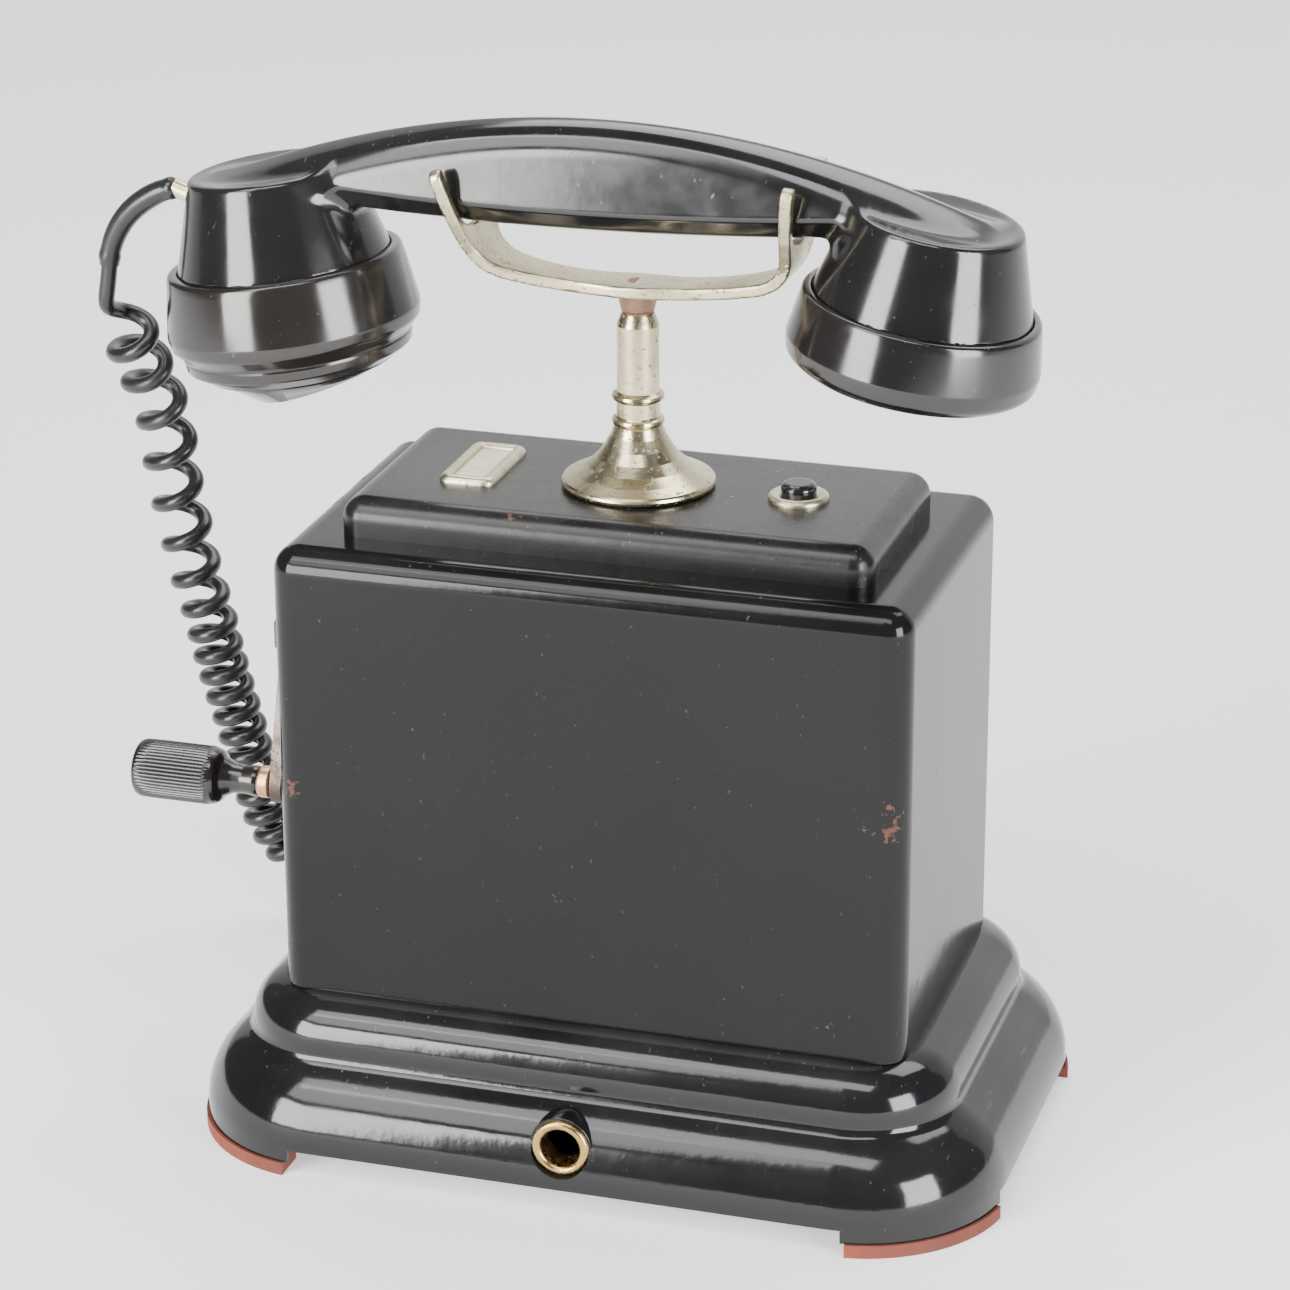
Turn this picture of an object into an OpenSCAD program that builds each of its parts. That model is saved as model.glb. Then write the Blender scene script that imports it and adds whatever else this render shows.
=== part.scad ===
// Desk telephone with a magneto crank: moulded base, steel case, column cradle and handset.
// Millimetres. +X is the receiver end, -Y the front, +Z up; origin on the table under the column.

/* [Base] */
// Width of the base skirt
base_w = 207.6; // [195:0.2:250]
// Depth of the base skirt
base_d = 138.2; // [132:0.2:170]
// Plan radius of the base corners
base_corner_r = 36.7; // [30:0.1:42]
// Width of the base moulding, from its outer edge to the flat the case stands on
base_step = 23.8; // [20:0.1:28]
// Height of the base roof above the table
base_h = 41; // [36:0.5:50]
// Sheet thickness of the base
base_wall = 2; // [1.5:0.1:3]
// Height of the skirt edge between the feet
skirt_gap = 6.8; // [5:0.1:10]
// Height of the rubber feet
foot_h = 3.4; // [2:0.1:5]
// Where the front and back feet start, measured from the middle
foot_start_x = 71; // [55:1:80]
// Where the side feet start, measured from the middle
foot_start_y = 38; // [25:1:48]

/* [Case] */
// Width of the sheet steel case
case_w = 160; // [156:0.5:200]
// Depth of the sheet steel case
case_d = 93; // [90:0.5:115]
// Height of the case above the base
case_h = 116; // [110:0.5:145]
// Sheet thickness of the case
case_wall = 1.5; // [1:0.1:2.5]
// Radius of the case edges
case_edge_r = 6.5; // [4:0.1:9]

/* [Plinth] */
// Width of the raised panel on the case
plinth_w = 133.8; // [120:0.2:150]
// Depth of the raised panel
plinth_d = 64.2; // [56:0.2:80]
// Height of the raised panel
plinth_h = 9.3; // [7:0.1:14]
// Edge radius of the raised panel
plinth_edge_r = 5.6; // [3:0.1:7]

/* [Eyelets] */
// Bore radius of the front and back eyelets
eyelet_bore_r = 4.9; // [3:0.1:6]
// Outer radius of the front eyelet
eyelet_r = 7.4; // [6.5:0.1:8]
// Height of the eyelet centres above the table
eyelet_z = 17.2; // [15:0.1:19]

/* [Column] */
// Height of the column above the raised panel
column_h = 43.7; // [38:0.1:55]
// Radius of the column foot
column_foot_r = 19; // [15:0.1:24]
// Radius of the column post
column_post_r = 5.2; // [5:0.1:7]
// Radius of the rod that carries the cradle
plunger_r = 2.5; // [2:0.1:3]
// Travel of the cradle when the handset is lifted
cradle_travel = 5; // [3:0.5:6]

/* [Cradle] */
// Distance between the two forks of the cradle
fork_span = 77.5; // [72:0.5:86]
// Thickness of the cradle strip
strip_t = 3; // [2.4:0.1:4]
// Outward lean of the left fork in degrees
left_lean = 16; // [0:1:20]
// Outward lean of the right fork in degrees
right_lean = 6; // [-4:1:20]

/* [Handset] */
// Distance between the two caps
cap_span = 162; // [155:1:180]
// Inward tilt of the transmitter cap in degrees
transmitter_tilt = 7.5; // [5:0.1:12]
// Inward tilt of the receiver cap in degrees
receiver_tilt = 10.6; // [5:0.1:14]
// Radius of the cap rims
cap_r = 29.2; // [27:0.1:33]
// Rise of the handle over the cap rims
handle_rise = 39.4; // [36:0.1:46]
// Thickness of the handle at its middle
handle_t = 26.4; // [22:0.1:30]
// Width of the handle
handle_w = 25; // [20:0.5:30]
// Sideways shift of the handset in the cradle
handset_shift = -10.4; // [-14:0.1:0]
// Slope of the handset in the cradle in degrees
handset_slope = 0.75; // [0:0.05:1]

/* [Crank] */
// Radius of the crank, shaft to knob
crank_r = 39.5; // [36:0.5:43]
// Forward swing of the crank at rest in degrees
crank_rest = 20.7; // [0:0.1:40]
// Height of the crank shaft above the table
crank_z = 118; // [114:0.5:122]
// Radius of the crank shaft
shaft_r = 4; // [3:0.1:5]
// Length of the knob with its ferrule
knob_l = 37.6; // [33:0.1:44]
// Radius of the ribbed end of the knob
knob_r = 7.6; // [6.5:0.1:8.5]
// Radius of the spindle in the knob
spindle_r = 2.5; // [2:0.1:3]

/* [Fits] */
// Radial running clearance of shafts and rods
run_gap = 0.05; // [0.02:0.01:0.1]
// Gap where a loose part rests on another
rest_gap = 0.3; // [0.2:0.05:0.6]

/* [Button] */
// Radius of the push button
button_r = 4.4; // [3.5:0.1:5]
// Travel of the push button
button_travel = 3; // [2:0.1:3]

/* [Hidden] */
$fn = 64;
eps = 0.01;

// heights
case_top = base_h + case_h;
plinth_top = case_top + plinth_h;
column_top = plinth_top + column_h;
case_roof = case_top - case_wall;
case_wall_x = case_w / 2 - case_wall;
case_wall_y = case_d / 2 - case_wall;

// base profile
roll_r = 11.5;
roll_in = base_step - roll_r;
cove_r = 3.5;
cove_z = base_h - roll_r - 1;
cove_end = 240;

// magneto
gear_module = 1.2;
gear_teeth = 45;
pinion_teeth = 12;
gear_gap = gear_module * (gear_teeth + pinion_teeth) / 2;
armature_z = crank_z - gear_gap;
gear_x = -case_wall_x + 8;
gear_w = 5;
plate_t = 3;
plate_left_x = gear_x + gear_w + 5;
magneto_l = 56;
plate_right_x = plate_left_x + magneto_l;
armature_r = 13;
magnet_in = 17;
magnet_out = 25;

// crank
bush_r = 7;
bush_flange_r = 9;
bush_flange_t = 2.5;
arm_t = 3;
arm_gap = 10.3;
arm_x = -case_w / 2 - bush_flange_t - arm_gap;
hub_l = arm_gap - 0.5;
cap_nut_h = 2.5;
knob_y = -crank_r * sin(crank_rest);
knob_z = crank_z - crank_r * cos(crank_rest);
ferrule_l = 3.4;
ferrule_gap = 0.8;
grip_l = 21;

// hook switch
hook_x = 15;
hook_z = case_roof - 17.5;
plunger_foot = hook_z + 2.3;
lever_t = 4;
nut_h = 5;

// gong and clapper
ringer_x = 40;
gong_r = 15;
gong_gap = 6;
gong_z = base_h + 66;
clapper_z = base_h + 40;
ball_r = 3.5;

// handset
handset_z = plinth_top + 51.7;
ridge_r = 238;
belly_r = 833;
housing_r = 26.4;
housing_h = 22;
housing_taper = 16;
handle_min = 16;
handle_past = 13;
cap_h = 17;
cavity_r = 22.5;

// handset cord route; the boot's and the lead's heights count from the cap rims
cord_d = 4.2;
coil_d = 16.2;
boot_d = 6;
boot_route = [[-119.6, 0, 13.9], [-124, 0, 12.3], [-129, 0, 9.2], [-133, 0, 5.4],
  [-136, 0, 0.8], [-137.8, 0, -4], [-138.2, 0, -7.4]];
lead_route = [[-138.2, 0, -7.4], [-139, 0, -13], [-139.8, 0, -17.4]];
coil_route = [[-136, 1.5, 198], [-137, 10, 187], [-139.5, 24, 173.5], [-140.5, 35, 158.3],
  [-143.4, 45, 141], [-144, 52, 124.5], [-142.9, 56, 108.7], [-141, 59, 96.3],
  [-139.3, 61, 83.8], [-137.2, 63, 71.5], [-134.8, 65, 59], [-132, 67.5, 42], [-128.5, 71, 28],
  [-122, 76, 17], [-113, 81, 11.6], [-104, 85.5, 9.3]];
tail_route = [[-104, 85.5, 9.3], [-98, 88.2, 6.4], [-91, 90.2, 3.6], [-83, 91.8, 2.4],
  [-74, 92.5, 2.3], [-66, 92, 2.6], [-58, 90.5, 4.2], [-51.5, 88, 7.6], [-47, 84.5, 12.4],
  [-45.2, 80.5, 16], [-45, 76.5, 17.2]];
gland_x = -45;
gland_reach = 7.4;

// ---------- shared shapes ----------

function arc(cx, cy, r, a0, a1, n = 8) =
  [for (i = [0:n]) let (a = a0 + (a1 - a0) * i / n) [cx + r * cos(a), cy + r * sin(a)]];

// A profile drawn outwards from the corner centre, carried round a rounded rectangle
module carry_round(w, d, r) {
  for (i = [0:3]) {
    sx = (i == 0 || i == 3) ? 1 : -1;
    sy = i < 2 ? 1 : -1;
    translate([sx * (w / 2 - r), sy * (d / 2 - r), 0])
      rotate([0, 0, 90 * i])
        rotate_extrude(angle = 90) children();
  }
  for (i = [0:3]) {
    run = (i % 2 == 0) ? d - 2 * r : w - 2 * r;
    reach = (i % 2 == 0) ? w / 2 - r : d / 2 - r;
    rotate([0, 0, 90 * i])
      translate([reach, run / 2, 0])
        rotate([90, 0, 0]) linear_extrude(run) children();
  }
}

module slab(w, d, r, z0, z1) {
  translate([0, 0, z0])
    linear_extrude(z1 - z0)
      rounded_plan(w, d, r);
}

module rounded_plan(w, d, r) {
  square([w - 2 * r, d], center = true);
  square([w, d - 2 * r], center = true);
  for (sx = [-1, 1], sy = [-1, 1])
    translate([sx * (w / 2 - r), sy * (d / 2 - r)]) circle(r);
}

module rod(x0, x1, r, y, z) {
  translate([x0, y, z]) rotate([0, 90, 0]) cylinder(r = r, h = x1 - x0);
}

module hex(r, h) {
  cylinder(r = r, h = h, $fn = 6);
}

function cross3(a, b) =
  [a[1] * b[2] - a[2] * b[1], a[2] * b[0] - a[0] * b[2], a[0] * b[1] - a[1] * b[0]];
function unit(v) = v / norm(v);
function heading(p, i) = unit(p[min(i + 1, len(p) - 1)] - p[max(i - 1, 0)]);

// A round tube along a list of points
module tube(p, d, sides) {
  n = len(p);
  rings = [for (i = [0:n - 1])
    let (t = heading(p, i), u = unit(cross3(t, [1, 0.05, 0.02])), v = cross3(t, u))
      [for (k = [0:sides - 1])
        let (a = 360 * k / sides) p[i] + d / 2 * (cos(a) * u + sin(a) * v)]];
  points = [for (ring = rings, q = ring) q];
  ends = [[for (k = [0:sides - 1]) k], [for (k = [sides - 1:-1:0]) (n - 1) * sides + k]];
  walls = [for (i = [0:n - 2], k = [0:sides - 1])
    let (k2 = (k + 1) % sides)
      [i * sides + k, (i + 1) * sides + k, (i + 1) * sides + k2, i * sides + k2]];
  polyhedron(points = points, faces = concat(ends, walls));
}

// ---------- base ----------

module base_profile() {
  r = base_corner_r;
  w = base_wall;
  roll_x = r - base_step;
  cove_x = r - roll_in + cove_r;
  low_x = cove_x + cove_r * cos(cove_end);
  low_z = cove_z + cove_r * sin(cove_end);
  low_r = (r - low_x) / (1 - cos(cove_end - 180));
  low_c = low_z - low_r * sin(cove_end - 180);
  polygon(concat(
    [[0, base_h]],
    arc(roll_x, base_h - roll_r, roll_r, 90, 0, 10),
    arc(cove_x, cove_z, cove_r, 180, cove_end, 5),
    arc(r - low_r, low_c, low_r, cove_end - 180 - 6, 0, 9),
    [[r, foot_h], [r - w, foot_h]],
    arc(r - low_r, low_c, low_r - w, 0, cove_end - 180 - 6, 7),
    arc(cove_x, cove_z, cove_r + w, cove_end, 180, 5),
    arc(roll_x, base_h - roll_r, roll_r - w, 0, 90, 8),
    [[0, base_h - w]]));
}

// The seat of a fitting in the skirt, +Z outwards
module at_skirt(x, side) {
  translate([x, side * boss_y, eyelet_z]) rotate([-side * 90, 0, 0]) children();
}

boss_in = 1.6;
boss_y = base_d / 2 - boss_in;
boss_edge = 0.5;
boss_l = 10;
eyelet_x = [[0, -1, eyelet_bore_r + 0.7], [gland_x, 1, eyelet_r - 1.4], [-gland_x, 1, eyelet_r - 1.4]];
post_x = base_w / 2 - 40;
post_y = base_d / 2 - 32;
screw_r = 1.6;

module base_shell() {
  color([0.05, 0.05, 0.055])
    difference() {
      union() {
        carry_round(base_w, base_d, base_corner_r) base_profile();
        translate([0, 0, base_h - base_wall / 2])
          cube([base_w - 2 * base_corner_r + eps, base_d - 2 * base_corner_r + eps, base_wall],
            center = true);
        for (sx = [-1, 1], sy = [-1, 1])
          translate([sx * post_x, sy * post_y, skirt_gap + 2])
            cylinder(r = 4, h = base_h - skirt_gap - 3);
        for (e = eyelet_x)
          at_skirt(e[0], e[1]) translate([0, 0, -boss_l]) cylinder(r = eyelet_r + boss_edge, h = boss_l);
      }
      translate([0, 0, skirt_gap - 5])
        cube([2 * foot_start_x, 2 * base_d, 10], center = true);
      translate([0, 0, skirt_gap - 5])
        cube([2 * base_w, 2 * foot_start_y, 10], center = true);
      for (e = eyelet_x)
        at_skirt(e[0], e[1]) {
          cylinder(r = eyelet_r + run_gap, h = 10);
          translate([0, 0, -20]) cylinder(r = e[2], h = 30);
        }
      for (sx = [-1, 1], sy = [-1, 1])
        translate([sx * post_x, sy * post_y, 0]) cylinder(r = screw_r, h = 20);
      for (sx = [-1, 1])
        translate([sx * tab_x, 0, base_h - 5]) cylinder(r = screw_r + 0.2, h = 10);
    }
}

module base_plate() {
  color("dimgray")
    difference() {
      slab(base_w - 2 * base_wall - 2, base_d - 2 * base_wall - 2, base_corner_r - base_wall - 1,
        skirt_gap + 0.5, skirt_gap + 2);
      for (sx = [-1, 1], sy = [-1, 1])
        translate([sx * post_x, sy * post_y, 0]) cylinder(r = screw_r + 0.2, h = 20);
    }
}

module base_screws() {
  color("silver")
    for (sx = [-1, 1], sy = [-1, 1])
      translate([sx * post_x, sy * post_y, skirt_gap - 1.3])
        difference() {
          union() {
            cylinder(r = 3, h = 1.8);
            cylinder(r = screw_r, h = 10);
          }
          translate([0, 0, -0.1]) cube([8, 0.8, 1.4], center = true);
        }
}

foot_inset = 1.2;
foot_lip = 0.7;

module rubber_foot(sx, sy) {
  lip_w = base_w + 2 * foot_lip;
  lip_d = base_d + 2 * foot_lip;
  color([0.55, 0.18, 0.1])
    intersection() {
      union() {
        linear_extrude(foot_h)
          difference() {
            rounded_plan(lip_w, lip_d, base_corner_r + foot_lip);
            rounded_plan(base_w - 18, base_d - 18, base_corner_r - 9);
          }
        linear_extrude(skirt_gap)
          difference() {
            rounded_plan(base_w - 2 * base_wall, base_d - 2 * base_wall,
              base_corner_r - base_wall);
            rounded_plan(base_w - 14, base_d - 14, base_corner_r - 7);
          }
      }
      translate([sx * (foot_start_x + foot_inset + 50), sy * (foot_start_y + foot_inset + 50), 0])
        cube([100, 100, 40], center = true);
    }
}

module foot_front_left() { rubber_foot(-1, -1); }
module foot_front_right() { rubber_foot(1, -1); }
module foot_rear_left() { rubber_foot(-1, 1); }
module foot_rear_right() { rubber_foot(1, 1); }

// A ring with a half-round lip and a tube behind it, its axis along +Z and its lip on top
module grommet(bore, outer, tube_r, tube_l) {
  lip_r = (outer - bore) / 2;
  rotate_extrude()
    polygon(concat(
      [[bore, -tube_l], [tube_r, -tube_l], [tube_r, 0], [outer, 0]],
      arc(outer - lip_r, 0, lip_r, 10, 170, 10),
      [[bore, 0]]));
}

module front_eyelet() {
  color([0.75, 0.55, 0.2])
    at_skirt(0, -1) grommet(eyelet_bore_r, eyelet_r, eyelet_x[0][2], boss_l + 1);
}

module cord_gland() {
  color([0.07, 0.07, 0.07])
    at_skirt(gland_x, 1)
      difference() {
        union() {
          translate([0, 0, -6]) cylinder(r = eyelet_x[1][2], h = 6);
          cylinder(r1 = eyelet_r, r2 = cord_d / 2 + 1.2, h = boss_in + gland_reach);
        }
        translate([0, 0, -7]) cylinder(r = cord_d / 2, h = 30);
      }
}

module line_inlet() {
  color([0.75, 0.55, 0.2])
    at_skirt(-gland_x, 1) grommet(eyelet_bore_r - 0.6, eyelet_r, eyelet_x[2][2], 6);
}

// ---------- case ----------

tab_x = case_wall_x - 7;

module case_profile(r, h, wall) {
  edge = r - wall;
  polygon(concat(
    [[0, h]],
    arc(0, h - r, r, 90, 0, 8),
    [[r, 0], [edge, 0]],
    arc(0, h - r, edge, 0, 90, 6),
    [[0, h - wall]]));
}

module case_cover() {
  color([0.07, 0.07, 0.075])
    difference() {
      union() {
        translate([0, 0, base_h])
          carry_round(case_w, case_d, case_edge_r)
            case_profile(case_edge_r, case_h, case_wall);
        translate([0, 0, case_top - case_wall / 2])
          cube([case_w - 2 * case_edge_r + eps, case_d - 2 * case_edge_r + eps, case_wall],
            center = true);
        for (sx = [-1, 1])
          translate([sx * (case_wall_x - 6 + eps), 0, base_h + 1])
            cube([12, 14, 2], center = true);
      }
      for (sx = [-1, 1])
        translate([sx * tab_x, 0, base_h - 1]) cylinder(r = screw_r, h = 5);
      translate([0, 0, case_roof - 1]) cylinder(r = stem_r + 0.1, h = 5);
      translate([button_x, 0, case_roof - 1]) cylinder(r = 2.2, h = 5);
      rod(-case_w / 2 - 1, -case_w / 2 + 5, bush_r, 0, crank_z);
    }
}

module case_screws() {
  color("silver")
    for (sx = [-1, 1])
      translate([sx * tab_x, 0, base_h - base_wall - 1.6]) {
        cylinder(r = 3, h = 1.6);
        cylinder(r = screw_r, h = 7);
      }
}

button_x = 40.6;
label_x = -40.6;

module top_plinth() {
  edge = min(plinth_edge_r, plinth_h - 1);
  color([0.07, 0.07, 0.075])
    difference() {
      union() {
        translate([0, 0, case_top])
          carry_round(plinth_w, plinth_d, plinth_edge_r)
            case_profile(edge, plinth_h, case_wall);
        translate([0, 0, plinth_top - case_wall / 2])
          cube([plinth_w - 2 * plinth_edge_r + eps, plinth_d - 2 * plinth_edge_r + eps,
            case_wall], center = true);
      }
      translate([0, 0, case_top]) cylinder(r = stem_r + 0.1, h = 20);
      translate([button_x, 0, case_top]) cylinder(r = button_sleeve_r + 0.1, h = 20);
    }
}

label_w = 14.5;
label_l = 29;
label_rim = 3.2;
label_h = 1.9;

module label_frame() {
  color([0.72, 0.66, 0.5])
    translate([label_x, 1, plinth_top])
      difference() {
        union() {
          linear_extrude(label_h * 0.5) rounded_plan(label_w, label_l, 2);
          linear_extrude(label_h * 0.8) rounded_plan(label_w - 1, label_l - 1, 1.8);
          linear_extrude(label_h) rounded_plan(label_w - 2.4, label_l - 2.4, 1.4);
        }
        translate([0, 0, -1])
          linear_extrude(5) square([label_w - 2 * label_rim, label_l - 2 * label_rim],
            center = true);
      }
}

module label_card() {
  color([0.9, 0.87, 0.76])
    translate([label_x, 1, plinth_top + 0.4])
      cube([label_w - 2 * label_rim, label_l - 2 * label_rim, 0.8], center = true);
}

// ---------- push button ----------

button_sleeve_r = button_r + 1.2;
button_rest_z = plinth_top - 2.8;
sleeve_floor = case_top + 1;

module button_collar() {
  color([0.72, 0.66, 0.5])
    translate([button_x, 0, 0])
      rotate_extrude()
        polygon(concat(
          [[2, sleeve_floor], [button_sleeve_r, sleeve_floor], [button_sleeve_r, plinth_top],
            [7.5, plinth_top]],
          arc(6.3, plinth_top + 0.5, 1.2, 0, 90, 4),
          [[button_r + run_gap, plinth_top + 1.2], [button_r + run_gap, sleeve_floor + 1],
            [2, sleeve_floor + 1]]));
}

module button_cap() {
  color([0.04, 0.04, 0.04])
    translate([button_x, 0, 0])
      rotate_extrude()
        polygon(concat(
          [[0, case_roof - 5.5], [1.5, case_roof - 5.5], [1.5, button_rest_z],
            [button_r, button_rest_z]],
          arc(button_r - 1.4, plinth_top + 3, 1.4, 0, 90, 5),
          [[0, plinth_top + 4.4]]));
}

// A closed spring drawn as touching coils
module spring(r_in, r_out, h, turns) {
  step = h / turns;
  rotate_extrude()
    polygon(concat(
      [[r_in, 0]],
      [for (i = [0:turns - 1], k = [0:1])
        [k == 0 ? r_out - 0.35 : r_out, (i + k / 2) * step]],
      [[r_out - 0.35, h], [r_in, h]]));
}

module button_spring() {
  color("silver")
    translate([button_x, 0, sleeve_floor + 1])
      spring(1.9, button_r - 0.6, button_rest_z - sleeve_floor - 1, 4);
}

module button_contacts() {
  color([0.45, 0.3, 0.15])
    translate([button_x, 0, 0]) {
      translate([8, 0, case_roof - 8]) cube([6, 8, 16], center = true);
      for (z = [-10.2, -13.4])
        translate([2.5, 0, case_roof + z]) cube([8, 4, 0.5], center = true);
    }
}

// ---------- column ----------

stem_r = 6;

module column() {
  r = column_post_r;
  z0 = plinth_top;
  z1 = column_top;
  well_r = plunger_r + 1.15 + run_gap;
  color([0.75, 0.7, 0.58])
    difference() {
      rotate_extrude()
        polygon(concat(
          [[0, case_roof - nut_h - 1], [stem_r, case_roof - nut_h - 1], [stem_r, z0],
            [column_foot_r - 1, z0]],
          arc(column_foot_r - 1.2, z0 + 1.2, 1.2, -60, 60, 4),
          [[column_foot_r - 3.4, z0 + 3.6], [column_foot_r - 6.4, z0 + 5.4],
            [column_foot_r - 8.8, z0 + 7.6], [8.4, z0 + 10.2], [6.9, z0 + 13], [6, z0 + 15.4],
            [5.8, z0 + 15.6]],
          arc(5.5, z0 + 16.6, 1, -80, 80, 4),
          [[5.4, z0 + 18], [5.4, z0 + 21.6]],
          arc(5.5, z0 + 22.8, 1, -80, 80, 4),
          [[r, z0 + 24.2], [r, z1 - 3], [r - 0.3, z1 - 2], [r - 1.1, z1], [0, z1]]));
      cylinder(r = plunger_r + run_gap, h = 400);
      translate([0, 0, z1 - 20]) cylinder(r = well_r, h = 30);
    }
}

module column_nut() {
  color("silver")
    translate([0, 0, case_roof - nut_h])
      difference() {
        hex(9.5, nut_h);
        translate([0, 0, -1]) cylinder(r = stem_r, h = nut_h + 2);
      }
}

cone_z = column_top + 0.4;
strip_z = column_top + 5;
cone_h = strip_z - cone_z - 0.15;

module plunger_rod() {
  color([0.5, 0.25, 0.18])
    union() {
      translate([0, 0, plunger_foot]) cylinder(r = plunger_r, h = strip_z + strip_t - plunger_foot);
      translate([0, 0, column_top - 6]) cylinder(r = plunger_r + 1.15, h = 6.4);
    }
}

module cradle_spring() {
  color("silver")
    translate([0, 0, column_top - 20])
      spring(plunger_r + 0.3, plunger_r + 1.05, 14, 6);
}

module cradle_cone() {
  color([0.55, 0.4, 0.3])
    translate([0, 0, cone_z])
      difference() {
        rotate_extrude()
          polygon([[0, 0], [3.8, 0], [4.1, 0.5], [5.1, cone_h], [0, cone_h]]);
        translate([0, 0, -1]) cylinder(r = plunger_r, h = 20);
      }
}

// ---------- cradle ----------

function strip_rise(x) = 5.4 * pow(abs(x) / 40, 2.6) + x * 0.014;
function strip_half(x) = 5.4 + 1.4 * exp(-pow(x / 9, 2)) + 3.6 * pow(abs(x) / 42, 3);

module fork(side, lean) {
  reach = fork_span / 2;
  foot_z = strip_z + strip_rise(side * reach) + strip_t - 1.2;
  notch = rest_height(side * reach) - foot_z;
  translate([side * reach, 0, foot_z])
    rotate([0, side * lean, 0])
      rotate([90, 0, 90])
        translate([0, 0, -strip_t / 2])
          linear_extrude(strip_t)
            polygon(concat(
              [[-9.2, -1.5], [9.2, -1.5], [11.2, 3], [13.4, 7.5], [15.3, 12.5], [16.8, 17.5],
                [17.6, 21.8]],
              arc(16, 21.9, 1.6, 0, 130, 4),
              [[13.8, 20], [13.3, notch + 8], [12.6, notch + 4.6], [9.3, notch + 0.9],
                [6.6, notch], [-6.6, notch], [-9.3, notch + 0.9], [-12.6, notch + 4.6],
                [-13.3, notch + 8], [-13.8, 20]],
              arc(-16, 21.9, 1.6, 50, 180, 4),
              [[-17.6, 21.8], [-16.8, 17.5], [-15.3, 12.5], [-13.4, 7.5], [-11.2, 3]]));
}

module cradle() {
  steps = 28;
  half = fork_span / 2;
  xs = [for (i = [0:steps]) -half + 2 * half * i / steps];
  color([0.75, 0.7, 0.58])
    difference() {
      union() {
        intersection() {
          translate([0, 20, 0])
            rotate([90, 0, 0])
              linear_extrude(40)
                polygon(concat(
                  [for (x = xs) [x, strip_z + strip_rise(x)]],
                  [for (i = [steps:-1:0]) [xs[i], strip_z + strip_rise(xs[i]) + strip_t]]));
          translate([0, 0, strip_z - 5])
            linear_extrude(30)
              polygon(concat(
                [for (x = xs) [x, -strip_half(x)]],
                [for (i = [steps:-1:0]) [xs[i], strip_half(xs[i])]]));
        }
        fork(-1, left_lean);
        fork(1, right_lean);
      }
      cylinder(r = plunger_r, h = 400);
    }
}

// ---------- hook switch ----------

module hook_bracket() {
  color("silver")
    difference() {
      union() {
        translate([hook_x - 3, -8, case_roof - 2]) cube([22, 16, 2]);
        for (s = [-1, 1])
          translate([hook_x - 3, s * 6 - 1, hook_z - 4]) cube([6, 2, case_roof - hook_z + 3]);
      }
      translate([hook_x, 10, hook_z])
        rotate([90, 0, 0]) cylinder(r = 1.5 + run_gap, h = 20);
    }
}

module hook_lever() {
  color([0.75, 0.6, 0.3])
    union() {
      translate([hook_x, 7.5, hook_z]) rotate([90, 0, 0]) cylinder(r = 1.5, h = 15);
      translate([hook_x, 4.5, hook_z]) rotate([90, 0, 0]) cylinder(r = 3, h = 9);
      translate([-1, -2.5, plunger_foot - rest_gap - lever_t]) cube([hook_x - 1, 5, lever_t]);
    }
}

module hook_contacts() {
  color([0.45, 0.3, 0.15])
    translate([hook_x + 9, 0, 0]) {
      translate([2, 0, case_roof - 8]) cube([8, 8, 12 - eps], center = true);
      for (z = [-9, -12])
        translate([-2, 0, case_roof + z]) cube([4, 4, 0.5], center = true);
    }
}

// ---------- handset ----------

function handset_to_desk(x, z) =
  [handset_shift + x * cos(handset_slope) - z * sin(handset_slope),
    handset_z + x * sin(handset_slope) + z * cos(handset_slope)];
function belly(x) = handle_rise - handle_t + x * x / (2 * belly_r);
function ridge(x) = handle_rise - x * x / (2 * ridge_r);
function rest_height(x) =
  let (u = (x - handset_shift) / cos(handset_slope))
    handset_to_desk(u, belly(u))[1] - rest_gap;

module in_handset() {
  translate([handset_shift, 0, handset_z]) rotate([0, -handset_slope, 0]) children();
}

module at_cap(side) {
  in_handset()
    translate([side * cap_span / 2, 0, 0])
      rotate([0, side < 0 ? -transmitter_tilt : receiver_tilt, 0]) children();
}

// Section of the handle: a low roof, flat sides and a bevelled belly
function handle_ring(x) =
  let (
    half = handle_w / 2,
    top = ridge(x),
    low = min(belly(x), top - handle_min),
    side = [[half - 6.5, low], [half - 3.6, low + 1.4], [half - 0.6, low + 5.6],
      [half, low + 7.6], [half, top - 7.2], [half - 0.5, top - 5.4], [half - 2.4, top - 3.4],
      [half - 7, top - 1.2], [2.6, top - 0.15]])
    concat([for (q = side) [x, q[0], q[1]]],
      [for (i = [len(side) - 1:-1:0]) [x, -side[i][0], side[i][1]]]);

module handle_bar() {
  n = 22;
  reach = cap_span / 2 + handle_past;
  rings = [for (i = [0:n]) handle_ring(-reach + 2 * reach * i / n)];
  m = len(rings[0]);
  points = [for (ring = rings, q = ring) q];
  ends = [[for (k = [0:m - 1]) k], [for (k = [m - 1:-1:0]) n * m + k]];
  walls = [for (i = [0:n - 1], k = [0:m - 1])
    let (k2 = (k + 1) % m) [i * m + k, (i + 1) * m + k, (i + 1) * m + k2, i * m + k2]];
  polyhedron(points = points, faces = concat(ends, walls));
}

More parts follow.
